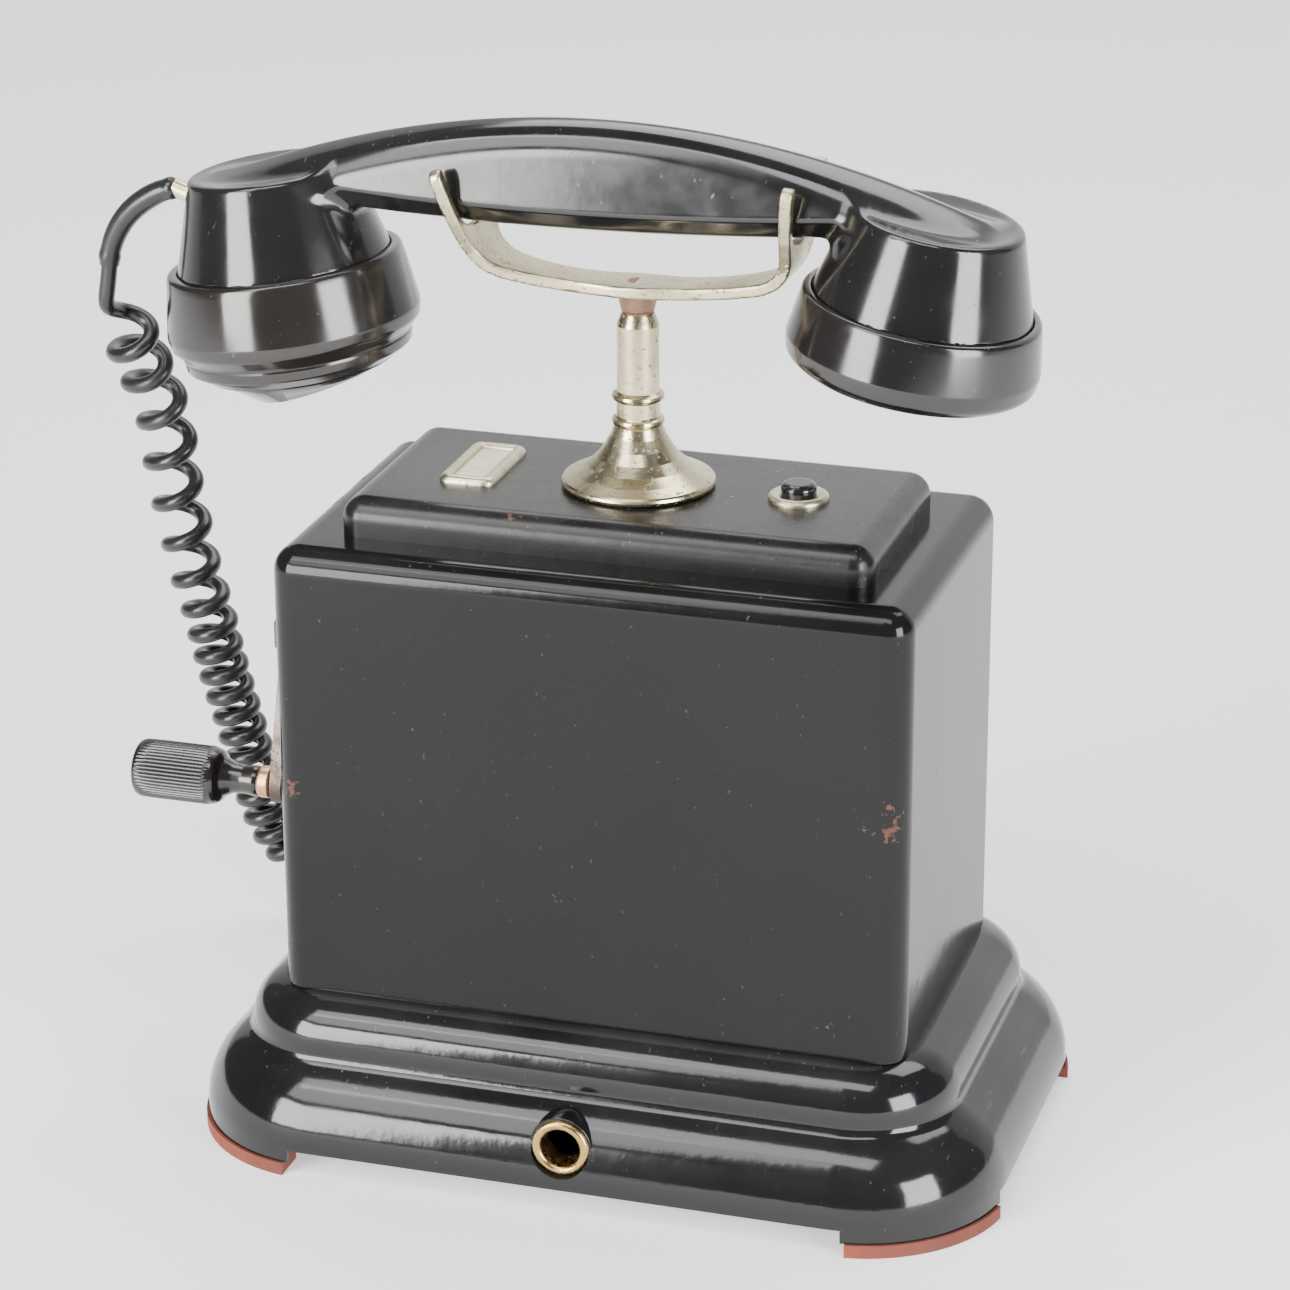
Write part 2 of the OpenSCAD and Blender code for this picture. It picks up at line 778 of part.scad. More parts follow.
module handset_body() {
  top_r = housing_r - housing_h * tan(housing_taper);
  color([0.04, 0.04, 0.045])
    difference() {
      union() {
        in_handset() handle_bar();
        for (side = [-1, 1])
          at_cap(side) cylinder(r1 = housing_r, r2 = top_r, h = housing_h);
      }
      for (side = [-1, 1])
        at_cap(side) translate([0, 0, -1]) cylinder(r = cavity_r, h = 9);
    }
}

module cap_shell(rim_r, low_r, h, edge, floor_r, floor_t) {
  rotate_extrude()
    polygon(concat(
      [[housing_r + 0.3, -0.4], [rim_r - 0.8, -0.4], [rim_r, -0.5], [rim_r + 0.1, -1.6],
        [low_r, -h]],
      arc(low_r - edge, -h, edge, 0, -80, 5),
      [[floor_r, -h - edge], [floor_r, -h - edge + floor_t], [housing_r - 1.4, -h - edge + floor_t],
        [housing_r - 1.4, -1], [housing_r + 0.3, -1]]));
}

module transmitter_cap() {
  step_z = -cap_h - 4.6;
  step_r = 28.2;
  horn_r = 22.6;
  horn_z = step_z - 6.2;
  color([0.04, 0.04, 0.045])
    at_cap(-1)
      difference() {
        union() {
          cap_shell(cap_r + 0.1, 31.6, cap_h, 4, 12, 2.4);
          rotate_extrude()
            polygon([[12, step_z + 2], [step_r - 1, step_z + 2], [step_r, step_z + 0.8],
              [step_r, step_z - 1.6], [step_r - 0.8, step_z - 2.6], [horn_r + 1, horn_z + 1.2],
              [horn_r, horn_z], [12, horn_z]]);
          difference() {
            translate([0, 0, horn_z - 14 + eps])
              cylinder(r1 = horn_r - 14 / tan(34), r2 = horn_r, h = 14);
            translate([4.2, 0, horn_z - 3.9])
              rotate([0, -11.8, 0])
                translate([-50, -50, -50]) cube([100, 100, 50]);
          }
        }
        translate([0, 0, horn_z - 12]) cylinder(r1 = 2, r2 = 18, h = 14);
        translate([0, 0, horn_z + 1]) cylinder(r = 18, h = 40);
      }
}

module receiver_cap() {
  color([0.04, 0.04, 0.045])
    at_cap(1)
      difference() {
        cap_shell(cap_r - 0.3, 30.8, cap_h - 3.6, 5, 3, 2.6);
        for (i = [0:5])
          rotate([0, 0, 60 * i])
            translate([8, 0, -40]) cylinder(r = 1.6, h = 40);
      }
}

module capsule(side) {
  at_cap(side)
    translate([0, 0, -cap_h + 2.2])
      difference() {
        union() {
          cylinder(r = cavity_r - 0.5, h = cap_h + 2);
          cylinder(r = cavity_r + 1.6, h = 3);
        }
        translate([0, 0, -1]) cylinder(r = 12, h = 2.4);
      }
}

module transmitter_capsule() { color("silver") capsule(-1); }
module receiver_capsule() { color([0.75, 0.6, 0.3]) capsule(1); }

module at_handset_height() {
  translate([0, 0, handset_z]) children();
}

module cord_ferrule() {
  color([0.75, 0.6, 0.3])
    at_handset_height() translate(boot_route[0])
      rotate([0, 110, 0])
        translate([0, 0, -0.2])
          difference() {
            cylinder(r = 2.3, h = 6);
            translate([0, 0, -1]) cylinder(r = 1, h = 8);
          }
}

module cord_boot() {
  color([0.05, 0.05, 0.05]) at_handset_height() tube(boot_route, boot_d, 12);
}

module handset_cord_lead() {
  color([0.05, 0.05, 0.05]) at_handset_height() tube(lead_route, cord_d, 10);
}

module handset_cord_coil() {
  color([0.05, 0.05, 0.05]) tube(coil_route, coil_d, 12);
}

module handset_cord_tail() {
  color([0.05, 0.05, 0.05]) tube(tail_route, cord_d, 10);
}

// ---------- crank ----------

module crank_bush() {
  color([0.75, 0.6, 0.3])
    difference() {
      union() {
        rod(-case_w / 2 - bush_flange_t, -case_w / 2, bush_flange_r, 0, crank_z);
        rod(-case_w / 2 - eps, -case_wall_x + 6.5, bush_r, 0, crank_z);
      }
      rod(-case_w, 0, shaft_r + run_gap, 0, crank_z);
    }
}

module bush_nut() {
  color("silver")
    translate([-case_wall_x, 0, crank_z])
      rotate([0, 90, 0])
        difference() {
          hex(10.5, 4);
          translate([0, 0, -1]) cylinder(r = bush_r, h = 8);
        }
}

module crank_shaft() {
  color("silver")
    union() {
      rod(arm_x - 1, plate_left_x - 2, shaft_r, 0, crank_z);
      rod(plate_left_x - 2 - eps, plate_left_x + plate_t, shaft_r - 1, 0, crank_z);
    }
}

module crank_arm() {
  end_r = 5;
  hub_r = 8;
  color([0.12, 0.1, 0.09])
    translate([arm_x, 0, crank_z])
      rotate([-crank_rest, 0, 0])
        difference() {
          union() {
            rotate([0, 90, 0]) cylinder(r = hub_r, h = hub_l);
            translate([0, 0, -crank_r]) rotate([0, 90, 0]) cylinder(r = end_r, h = arm_t);
            rotate([90, 0, 90])
              linear_extrude(arm_t)
                polygon([[-hub_r + 1, -2], [-end_r, -crank_r], [end_r, -crank_r], [hub_r - 1, -2]]);
          }
          translate([-1, 0, 0]) rotate([0, 90, 0]) cylinder(r = shaft_r, h = 20);
          translate([0, 0, -crank_r])
            rotate([0, 90, 0]) translate([0, 0, -1]) cylinder(r = spindle_r, h = 20);
        }
}

module crank_nut() {
  color([0.75, 0.7, 0.58])
    translate([arm_x - cap_nut_h, 0, crank_z])
      rotate([0, 90, 0])
        difference() {
          hex(6.5, cap_nut_h);
          translate([0, 0, cap_nut_h - 1]) cylinder(r = shaft_r, h = 4);
        }
}

// Knob frame: +Z runs out along the knob from the arm's outer face
module in_knob() {
  translate([arm_x, knob_y, knob_z]) rotate([0, -90, 0]) children();
}

module knob_spindle() {
  color([0.5, 0.3, 0.2])
    in_knob() {
      translate([0, 0, -arm_t]) cylinder(r = spindle_r, h = knob_l - 3 + arm_t);
      translate([0, 0, knob_l - 3 - eps]) cylinder(r = spindle_r + 1, h = 1.6);
    }
}

module knob_ferrule() {
  color([0.75, 0.5, 0.25])
    in_knob()
      translate([0, 0, ferrule_gap])
        difference() {
          rotate_extrude()
            polygon([[0, 0], [3.8, 0], [4.1, 0.4], [4.1, ferrule_l - 0.4], [3.9, ferrule_l],
              [0, ferrule_l]]);
          translate([0, 0, -1]) cylinder(r = spindle_r + run_gap, h = 10);
        }
}

module crank_knob() {
  base = ferrule_l + ferrule_gap;
  grip = knob_l - grip_l;
  ribs = 40;
  color([0.1, 0.07, 0.06])
    in_knob()
      difference() {
        union() {
          rotate_extrude()
            polygon(concat(
              [[0, base], [3.7, base], [4, base + 1], [3.9, base + 2.6], [3.6, base + 4.6],
                [3.8, base + 7], [4.8, grip - 3], [6.2, grip - 1.6], [knob_r, grip - 0.4],
                [knob_r, knob_l - 1.6], [knob_r - 0.5, knob_l - 0.6], [knob_r - 1.8, knob_l],
                [0, knob_l]]));
          translate([0, 0, grip])
            linear_extrude(grip_l - 1.8)
              polygon([for (i = [0:2 * ribs - 1])
                let (a = 180 * i / ribs, q = knob_r + (i % 2 == 0 ? 0.35 : -0.2))
                  [q * cos(a), q * sin(a)]]);
        }
        translate([0, 0, -1]) cylinder(r = spindle_r + run_gap, h = knob_l - 1);
        translate([0, 0, knob_l - 3 - rest_gap]) cylinder(r = spindle_r + 1 + run_gap, h = 10);
      }
}

// ---------- magneto ----------

// Straight-flanked teeth, thinner than half a pitch so that the pair runs free
module gear(teeth, h, bore) {
  pitch_r = gear_module * teeth / 2;
  root = pitch_r - 1.25 * gear_module;
  tip = pitch_r + 0.9 * gear_module;
  step = 360 / teeth;
  difference() {
    linear_extrude(h)
      polygon([for (i = [0:teeth - 1], q = [[-0.3, root], [-0.1, tip], [0.1, tip], [0.3, root]])
        let (a = (i + q[0]) * step) [q[1] * cos(a), q[1] * sin(a)]]);
    translate([0, 0, -1]) cylinder(r = bore, h = h + 2);
  }
}

module drive_gear() {
  color([0.75, 0.6, 0.3])
    translate([gear_x, 0, crank_z]) rotate([0, 90, 0]) gear(gear_teeth, gear_w, shaft_r);
}

module pinion() {
  color("silver")
    translate([gear_x, 0, armature_z])
      rotate([0, 90, 0])
        rotate([0, 0, 180 / pinion_teeth]) gear(pinion_teeth, gear_w, 3);
}

module armature() {
  color([0.5, 0.3, 0.2])
    union() {
      rod(gear_x - 2, plate_right_x + plate_t + 1, 3, 0, armature_z);
      rod(plate_left_x + plate_t + 2, plate_right_x - 2, armature_r, 0, armature_z);
    }
}

module magneto_frame() {
  color("dimgray")
    difference() {
      union() {
        translate([plate_left_x, -magnet_out, base_h])
          cube([plate_t, 2 * magnet_out, crank_z + 10 - base_h]);
        translate([plate_right_x, -magnet_out, base_h])
          cube([plate_t, 2 * magnet_out, armature_z + 20 - base_h]);
        for (s = [-1, 1])
          translate([plate_left_x + plate_t - eps, s * 13 - 4, armature_z - 14])
            cube([magneto_l - plate_t + 2 * eps, 8, 28]);
      }
      rod(plate_left_x - 5, plate_right_x + 10, 3 + run_gap, 0, armature_z);
      rod(plate_left_x + plate_t, plate_right_x, armature_r + 0.4, 0, armature_z);
      rod(plate_left_x - 5, plate_left_x + 10, shaft_r - 1 + run_gap, 0, crank_z);
    }
}

module magnets() {
  width = 15;
  arch_z = armature_z + 14;
  color([0.45, 0.1, 0.08])
    for (i = [0:2])
      translate([plate_left_x + plate_t + 2 + i * (width + 1.8), 0, 0])
        difference() {
          union() {
            rod(0, width, magnet_out, 0, arch_z);
            translate([0, -magnet_out, armature_z - 14])
              cube([width, 2 * magnet_out, arch_z - armature_z + 14]);
          }
          rod(-1, width + 1, magnet_in, 0, arch_z);
          translate([-1, -magnet_in, armature_z - 20])
            cube([width + 2, 2 * magnet_in, arch_z - armature_z + 20]);
        }
}

// ---------- ringer and circuit ----------

coil_gap = 10;
coil_r = 7.5;

module ringer_frame() {
  color("dimgray")
    difference() {
      union() {
        translate([ringer_x - 26, -20, base_h]) cube([52, 40, 2]);
        for (s = [-1, 1]) {
          translate([ringer_x - 3, s * 8.5 - 1, base_h]) cube([6, 2, clapper_z - base_h + 4]);
          translate([ringer_x + s * (gong_r + gong_gap), 0, base_h])
            cylinder(r = 2.5, h = gong_z - base_h + 4);
        }
      }
      translate([ringer_x, 15, clapper_z])
        rotate([90, 0, 0]) cylinder(r = 1.5 + run_gap, h = 30);
    }
}

module ringer_coils() {
  color([0.6, 0.25, 0.15])
    for (s = [-1, 1])
      translate([ringer_x + s * coil_gap, 0, base_h + 2]) {
        cylinder(r = coil_r - 0.6, h = 28);
        cylinder(r = coil_r, h = 1.5);
        translate([0, 0, 26.5]) cylinder(r = coil_r, h = 1.5);
        translate([0, 0, 28]) cylinder(r = 3, h = 2);
      }
}

module gongs() {
  wall = 1.4;
  color([0.75, 0.7, 0.58])
    for (s = [-1, 1])
      translate([ringer_x + s * (gong_r + gong_gap), 0, gong_z - 8])
        rotate_extrude()
          polygon(concat(
            [[gong_r - wall, 0], [gong_r, 0]],
            arc(gong_r - 10, 2, 10, 0, 90, 6),
            [[2.5, 12], [2.5, 12 - wall]],
            arc(gong_r - 10, 2, 10 - wall, 90, 0, 6)));
}

module clapper() {
  color([0.75, 0.6, 0.3])
    union() {
      translate([ringer_x, 9.8, clapper_z]) rotate([90, 0, 0]) cylinder(r = 1.5, h = 19.6);
      translate([ringer_x, 6, clapper_z]) rotate([90, 0, 0]) cylinder(r = 3, h = 12);
      translate([ringer_x - 15, -4, clapper_z - 4.5]) cube([30, 8, 3]);
      translate([ringer_x, 0, clapper_z]) cylinder(r = 1, h = gong_z - clapper_z - 4);
      translate([ringer_x, 0, gong_z - 5]) sphere(ball_r);
    }
}

module induction_coil() {
  color([0.45, 0.2, 0.12])
    union() {
      rod(10, 58, 8, 32, base_h + 10);
      for (x = [8, 56])
        translate([x, 22.5, base_h]) cube([4, 19, 20]);
    }
}

module capacitor() {
  color("darkgray")
    translate([8, -case_wall_y + 2, base_h])
      cube([36, 16, 26]);
}

module terminal_block() {
  color([0.3, 0.18, 0.1])
    translate([50, -case_wall_y + 3, base_h])
      difference() {
        cube([22, 14, 9]);
        for (i = [0:3], y = [4, 10])
          translate([3.5 + 5 * i, y, 5]) cylinder(r = 1.4, h = 6);
      }
}

base_shell();
base_plate();
base_screws();
foot_front_left();
foot_front_right();
foot_rear_left();
foot_rear_right();
front_eyelet();
cord_gland();
line_inlet();
case_cover();
case_screws();
top_plinth();
label_frame();
label_card();
button_collar();
button_cap();
button_spring();
button_contacts();
column();
column_nut();
plunger_rod();
cradle_cone();
cradle_spring();
cradle();
hook_bracket();
hook_lever();
hook_contacts();
handset_body();
transmitter_cap();
transmitter_capsule();
receiver_cap();
receiver_capsule();
cord_ferrule();
cord_boot();
handset_cord_lead();
handset_cord_coil();
handset_cord_tail();
crank_bush();
bush_nut();
crank_shaft();
crank_arm();
crank_nut();
knob_spindle();
crank_knob();
knob_ferrule();
drive_gear();
pinion();
armature();
magneto_frame();
magnets();
ringer_frame();
ringer_coils();
gongs();
clapper();
induction_coil();
capacitor();
terminal_block();
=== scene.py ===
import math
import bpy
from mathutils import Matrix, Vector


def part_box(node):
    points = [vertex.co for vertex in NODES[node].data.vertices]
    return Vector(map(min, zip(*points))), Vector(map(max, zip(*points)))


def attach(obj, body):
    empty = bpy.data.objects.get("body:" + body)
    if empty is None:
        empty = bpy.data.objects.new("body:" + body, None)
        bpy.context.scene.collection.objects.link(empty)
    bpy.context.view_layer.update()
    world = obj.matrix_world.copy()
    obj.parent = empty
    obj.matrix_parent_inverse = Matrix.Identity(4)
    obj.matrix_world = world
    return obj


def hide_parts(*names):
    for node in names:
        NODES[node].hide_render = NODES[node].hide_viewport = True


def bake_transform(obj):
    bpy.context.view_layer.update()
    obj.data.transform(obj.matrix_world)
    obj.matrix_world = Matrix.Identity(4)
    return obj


bl_info = {
    "name": "Crank desk telephone",
    "version": (1, 0, 0),
    "blender": (4, 5, 0),
    "location": "3D View > Sidebar > Telephone",
    "description": "Models and finishes the visible pieces of a desk telephone with a magneto crank",
    "category": "Object",
}

import bpy
import numpy as np
from mathutils import Matrix, Vector

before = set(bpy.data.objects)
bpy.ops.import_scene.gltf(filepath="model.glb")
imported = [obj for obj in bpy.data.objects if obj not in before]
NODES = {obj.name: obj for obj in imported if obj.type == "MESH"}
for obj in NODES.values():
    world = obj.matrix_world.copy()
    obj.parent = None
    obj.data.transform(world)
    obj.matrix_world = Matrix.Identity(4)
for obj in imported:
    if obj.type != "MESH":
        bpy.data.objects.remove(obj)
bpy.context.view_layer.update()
MM = 0.001
UP = Vector((0, 0, 1))


# ---------- sizes and colours ----------

def length(label, about, value):
    return bpy.props.FloatProperty(name=label, description=about, default=value, min=0, unit="LENGTH", precision=5)


def colour(label, about, value):
    return bpy.props.FloatVectorProperty(
        name=label, description=about, default=value, size=3, min=0, max=1, subtype="COLOR"
    )


class PhoneHandset(bpy.types.PropertyGroup):
    rise: length("Rise", "Top of the handle over the cap rims", 0.0394)
    thick: length("Thickness", "Handle thickness at its middle", 0.0264)
    half: length("Half width", "Half the handle's width", 0.0125)
    span: length("Cap span", "Distance between the two caps", 0.162)
    shift: length("Centre height", "Height of the cap rims above the table", 0.218)
    voxel: length("Voxel", "Mesh step of the moulded body", 0.00078)


class PhoneCord(bpy.types.PropertyGroup):
    wire: length("Wire", "Diameter of the cord", 0.0042)
    coil: length("Coil", "Outer diameter of the curls", 0.0154)
    turns: bpy.props.IntProperty(name="Turns", description="Curls between handset and base", default=22, min=5)


class PhoneColours(bpy.types.PropertyGroup):
    enamel: colour("Enamel", "Black stove enamel", (0.0045, 0.0045, 0.0052))
    primer: colour("Primer", "Red-brown primer where the enamel chipped", (0.045, 0.017, 0.011))
    moulding: colour("Moulding", "Black phenolic moulding", (0.006, 0.0058, 0.0064))
    nickel: colour("Nickel", "Worn nickel plate", (0.58, 0.51, 0.345))
    brass: colour("Brass", "Tarnished brass", (0.55, 0.38, 0.15))
    cord: colour("Cord", "Black rubber of the cord", (0.0095, 0.0098, 0.0105))
    foot: colour("Foot", "Red rubber of the feet", (0.13, 0.027, 0.013))
    card: colour("Card", "Blank name card", (0.72, 0.66, 0.5))
    floor: colour("Floor", "Pale studio floor", (0.87, 0.872, 0.868))


def settings(kind):
    return getattr(bpy.context.scene, "phone_" + kind)


# ---------- making meshes ----------

def clear_selection():
    if bpy.context.object and bpy.context.object.mode != "OBJECT":
        bpy.ops.object.mode_set(mode="OBJECT")
    bpy.ops.object.select_all(action="DESELECT")


def take(name):
    """Names the new active object and its mesh."""
    piece = bpy.context.object
    piece.name = name
    piece.data.name = name
    return piece


def pick(piece):
    clear_selection()
    piece.select_set(True)
    bpy.context.view_layer.objects.active = piece
    return piece


def modifier(piece, kind, **values):
    pick(piece)
    made = piece.modifiers.new(kind.title(), kind)
    for key, value in values.items():
        setattr(made, key, value)
    bpy.ops.object.modifier_apply(modifier=made.name)


def smooth(piece, degrees=35):
    pick(piece)
    bpy.ops.object.shade_smooth_by_angle(angle=math.radians(degrees))


def settle(piece, matrix=None):
    """Puts the piece's place in its mesh, its object at the origin."""
    if matrix is not None:
        piece.data.transform(matrix)
    pick(piece)
    bpy.ops.object.transform_apply(location=True, rotation=True, scale=True)
    return piece


def rounded(profile, cuts=5):
    """A profile of (radius, height, fillet) corners as a list of (radius, height) points."""
    points = []
    for i, (r, z, fillet) in enumerate(profile):
        here = Vector((r, z))
        if fillet <= 0 or i in (0, len(profile) - 1):
            points.append(here)
            continue
        a = Vector(profile[i - 1][:2]) - here
        b = Vector(profile[i + 1][:2]) - here
        turn = a.angle(b)
        if turn > 3.0:
            points.append(here)
            continue
        reach = min(fillet / math.tan(turn / 2), a.length * 0.49, b.length * 0.49)
        radius = reach * math.tan(turn / 2)
        centre = here + (a.normalized() + b.normalized()).normalized() * (radius / math.sin(turn / 2))
        start, end = here + a.normalized() * reach - centre, here + b.normalized() * reach - centre
        sweep = start.angle_signed(end)
        for k in range(cuts + 1):
            c, s = math.cos(-sweep * k / cuts), math.sin(-sweep * k / cuts)
            points.append(centre + Vector((start.x * c - start.y * s, start.x * s + start.y * c)))
    return [(p.x, p.y) for p in points]


def lathe(name, profile, sides=128, cuts=5):
    """Turns a profile round +Z: a circle is drawn, then extruded and scaled from point to point."""
    points = rounded(profile, cuts)
    clear_selection()
    r, z = points[0]
    closed_start = r < 1e-6
    bpy.ops.mesh.primitive_circle_add(vertices=sides, radius=max(r, 0.0002), location=(0, 0, z))
    piece = take(name)
    bpy.ops.object.transform_apply(location=True)
    bpy.ops.object.mode_set(mode="EDIT")
    bpy.ops.mesh.select_mode(type="VERT")
    bpy.ops.mesh.select_all(action="SELECT")
    if closed_start:
        bpy.ops.mesh.edge_face_add()
    here = max(r, 0.0002)
    for r, z2 in points[1:]:
        r = max(r, 0.0002)
        bpy.ops.mesh.extrude_region_move(TRANSFORM_OT_translate={"value": (0, 0, z2 - z)})
        bpy.ops.transform.resize(value=(r / here, r / here, 1), center_override=(0, 0, z2))
        here, z = r, z2
    if points[-1][0] < 0.0003:
        bpy.ops.mesh.edge_face_add()
    bpy.ops.mesh.select_all(action="SELECT")
    bpy.ops.mesh.remove_doubles(threshold=1e-6)
    bpy.ops.mesh.normals_make_consistent(inside=False)
    bpy.ops.object.mode_set(mode="OBJECT")
    smooth(piece)
    return piece


def walk_round(half_x, half_y, radius, steps):
    """Corner centres and outward directions round a rounded rectangle, one row per point."""
    rows = []
    for corner, (sx, sy) in enumerate(((1, 1), (-1, 1), (-1, -1), (1, -1))):
        for k in range(steps + 1):
            a = math.pi / 2 * (corner + k / steps)
            rows.append((sx * (half_x - radius), sy * (half_y - radius), math.cos(a), math.sin(a)))
    return np.array(rows)


def swept(name, half_x, half_y, radius, profile, steps=16):
    """Carries a profile of (inset, height) points round a rounded rectangle, closed at both ends."""
    walk = walk_round(half_x, half_y, radius, steps)
    clear_selection()
    bpy.ops.mesh.primitive_circle_add(vertices=len(walk), radius=1)
    piece = take(name)
    bpy.ops.object.mode_set(mode="EDIT")
    bpy.ops.mesh.select_mode(type="VERT")
    bpy.ops.mesh.select_all(action="SELECT")
    bpy.ops.mesh.edge_face_add()
    for _ in profile[1:]:
        bpy.ops.mesh.extrude_region_move(TRANSFORM_OT_translate={"value": (0, 0, 1)})
    bpy.ops.object.mode_set(mode="OBJECT")
    co = coordinates(piece)
    at = walk[np.rint(np.arctan2(co[:, 1], co[:, 0]) / (2 * math.pi) * len(walk)).astype(int) % len(walk)]
    inset, height = np.array(profile)[np.rint(co[:, 2]).astype(int)].T
    place(piece, np.column_stack([at[:, :2] + (radius - inset)[:, None] * at[:, 2:], height]))
    pick(piece)
    bpy.ops.object.mode_set(mode="EDIT")
    bpy.ops.mesh.select_all(action="SELECT")
    bpy.ops.mesh.normals_make_consistent(inside=False)
    bpy.ops.object.mode_set(mode="OBJECT")
    smooth(piece, 40)
    return piece


def bend_points(inset, height, radius, start, end, steps):
    """An arc of (inset, height) points; the angles count from straight outwards."""
    return [(inset - radius * math.cos(math.radians(a)), height + radius * math.sin(math.radians(a)))
            for a in np.linspace(start, end, steps + 1)]


def cut(piece, cutter):
    modifier(piece, "BOOLEAN", operation="DIFFERENCE", solver="EXACT", object=cutter)
    bpy.data.objects.remove(cutter)


def box(low, high):
    clear_selection()
    bpy.ops.mesh.primitive_cube_add(size=1, location=(Vector(low) + Vector(high)) / 2)
    made = take("box_cutter")
    made.scale = Vector(high) - Vector(low)
    return settle(made)


def rod_cutter(name, radius, length_mm):
    """A plain rod along Z, centred on the origin, in millimetres."""
    half = length_mm / 2
    section = ((0, -half), (radius, -half), (radius, half), (0, half))
    return lathe(name, [(r * MM, z * MM, 0) for r, z in section], 64)


def coordinates(piece):
    co = np.empty(len(piece.data.vertices) * 3)
    piece.data.vertices.foreach_get("co", co)
    return co.reshape(-1, 3)


def place(piece, co):
    piece.data.vertices.foreach_set("co", np.ascontiguousarray(co, float).ravel())
    piece.data.update()


def carve(piece, shape, voxel, steps=6, most=0.004):
    """Remeshes a rough piece and slides its points onto the surface where shape is 0."""
    modifier(piece, "REMESH", mode="VOXEL", voxel_size=voxel, adaptivity=0)
    co = coordinates(piece)
    start = co.copy()
    h = 2e-5

    def slope(p):
        return np.stack([
            (shape(p + h * axis) - shape(p - h * axis)) / (2 * h) for axis in np.eye(3)
        ], 1)

    for _ in range(steps):
        g = slope(co)
        move = -(shape(co) / np.maximum((g * g).sum(1), 0.15))[:, None] * g
        co = co + np.clip(move, -0.0012, 0.0012)
        away = co - start
        far = np.maximum(np.linalg.norm(away, axis=1) / most, 1)[:, None]
        co = start + away / far
    place(piece, co)
    pick(piece)
    bpy.ops.object.shade_smooth()
    g = slope(co)
    g /= np.maximum(np.linalg.norm(g, axis=1), 1e-9)[:, None]
    piece.data.normals_split_custom_set_from_vertices([tuple(v) for v in g])


def soft_max(a, b, k):
    h = np.maximum(k - np.abs(a - b), 0) / k
    return np.maximum(a, b) + h * h * k / 4


def soft_min(a, b, k):
    return -soft_max(-a, -b, k)


# ---------- materials ----------

class Sketch:
    """A node tree that is wired up by calls."""

    def __init__(self, tree):
        self.tree = tree

    def add(self, kind, **inputs):
        node = self.tree.nodes.new(kind)
        for key, value in inputs.items():
            name = key.replace("_", " ")
            if hasattr(node, key) and name not in node.inputs:
                setattr(node, key, value)
            elif isinstance(value, bpy.types.NodeSocket):
                self.tree.links.new(value, node.inputs[name])
            else:
                node.inputs[name].default_value = value
        return node

    def feed(self, node, index, value):
        if isinstance(value, bpy.types.NodeSocket):
            self.tree.links.new(value, node.inputs[index])
        else:
            node.inputs[index].default_value = value

    def math(self, operation, *values, clamp=False):
        node = self.tree.nodes.new("ShaderNodeMath")
        node.operation = operation
        node.use_clamp = clamp
        for i, value in enumerate(values):
            self.feed(node, i, value)
        return node.outputs[0]

    def ramp(self, value, low, high, to_low=0.0, to_high=1.0):
        node = self.tree.nodes.new("ShaderNodeMapRange")
        node.interpolation_type = "SMOOTHSTEP"
        for i, v in enumerate((value, low, high, to_low, to_high)):
            self.feed(node, i, v)
        return node.outputs[0]

    def mix(self, factor, a, b):
        node = self.tree.nodes.new("ShaderNodeMix")
        node.data_type = "RGBA"
        for i, v in ((0, factor), (6, a), (7, b)):
            if i and not isinstance(v, bpy.types.NodeSocket):
                v = (*v[:3], 1)
            self.feed(node, i, v)
        return node.outputs[2]

    def noise(self, where, scale, detail=3.0, roughness=0.55, kind="ShaderNodeTexNoise"):
        node = self.tree.nodes.new(kind)
        self.tree.links.new(where, node.inputs["Vector"])
        self.feed(node, node.inputs.find("Scale"), scale)
        if "Detail" in node.inputs:
            node.inputs["Detail"].default_value = detail
            node.inputs["Roughness"].default_value = roughness
        return node.outputs[0]


def group(name, inputs, outputs, wire):
    tree = bpy.data.node_groups.get(name)
    if tree:
        return tree
    tree = bpy.data.node_groups.new(name, "ShaderNodeTree")
    for label, kind, value in inputs:
        socket = tree.interface.new_socket(label, in_out="INPUT", socket_type=kind)
        if value is not None:
            socket.default_value = value
    for label in outputs:
        tree.interface.new_socket(label, in_out="OUTPUT", socket_type="NodeSocketFloat")
    sketch = Sketch(tree)
    source = tree.nodes.new("NodeGroupInput").outputs
    sink = tree.nodes.new("NodeGroupOutput").inputs
    for label, socket in wire(sketch, source).items():
        tree.links.new(socket, sink[label])
    return tree


NUMBER = "NodeSocketFloat"
VECTOR = "NodeSocketVector"


def edge_group():
    """How near a point is to the edges of an upright rounded box."""

    def wire(s, i):
        xyz = s.add("ShaderNodeSeparateXYZ", Vector=i["Vector"]).outputs
        near = []
        for axis, half in ((0, "Half X"), (1, "Half Y"), (2, "Top")):
            value = s.math("ABSOLUTE", xyz[axis])
            near.append(s.ramp(value, s.math("SUBTRACT", i[half], i["Width"]), i[half]))
        a = s.math("MULTIPLY", near[0], near[1])
        b = s.math("MULTIPLY", near[0], near[2])
        c = s.math("MULTIPLY", near[1], near[2])
        return {"Edge": s.math("MAXIMUM", a, s.math("MAXIMUM", b, c))}

    return group("Box edges", [
        ("Vector", VECTOR, None), ("Half X", NUMBER, 0.1), ("Half Y", NUMBER, 0.1),
        ("Top", NUMBER, 0.1), ("Width", NUMBER, 0.008)], ["Edge"], wire)


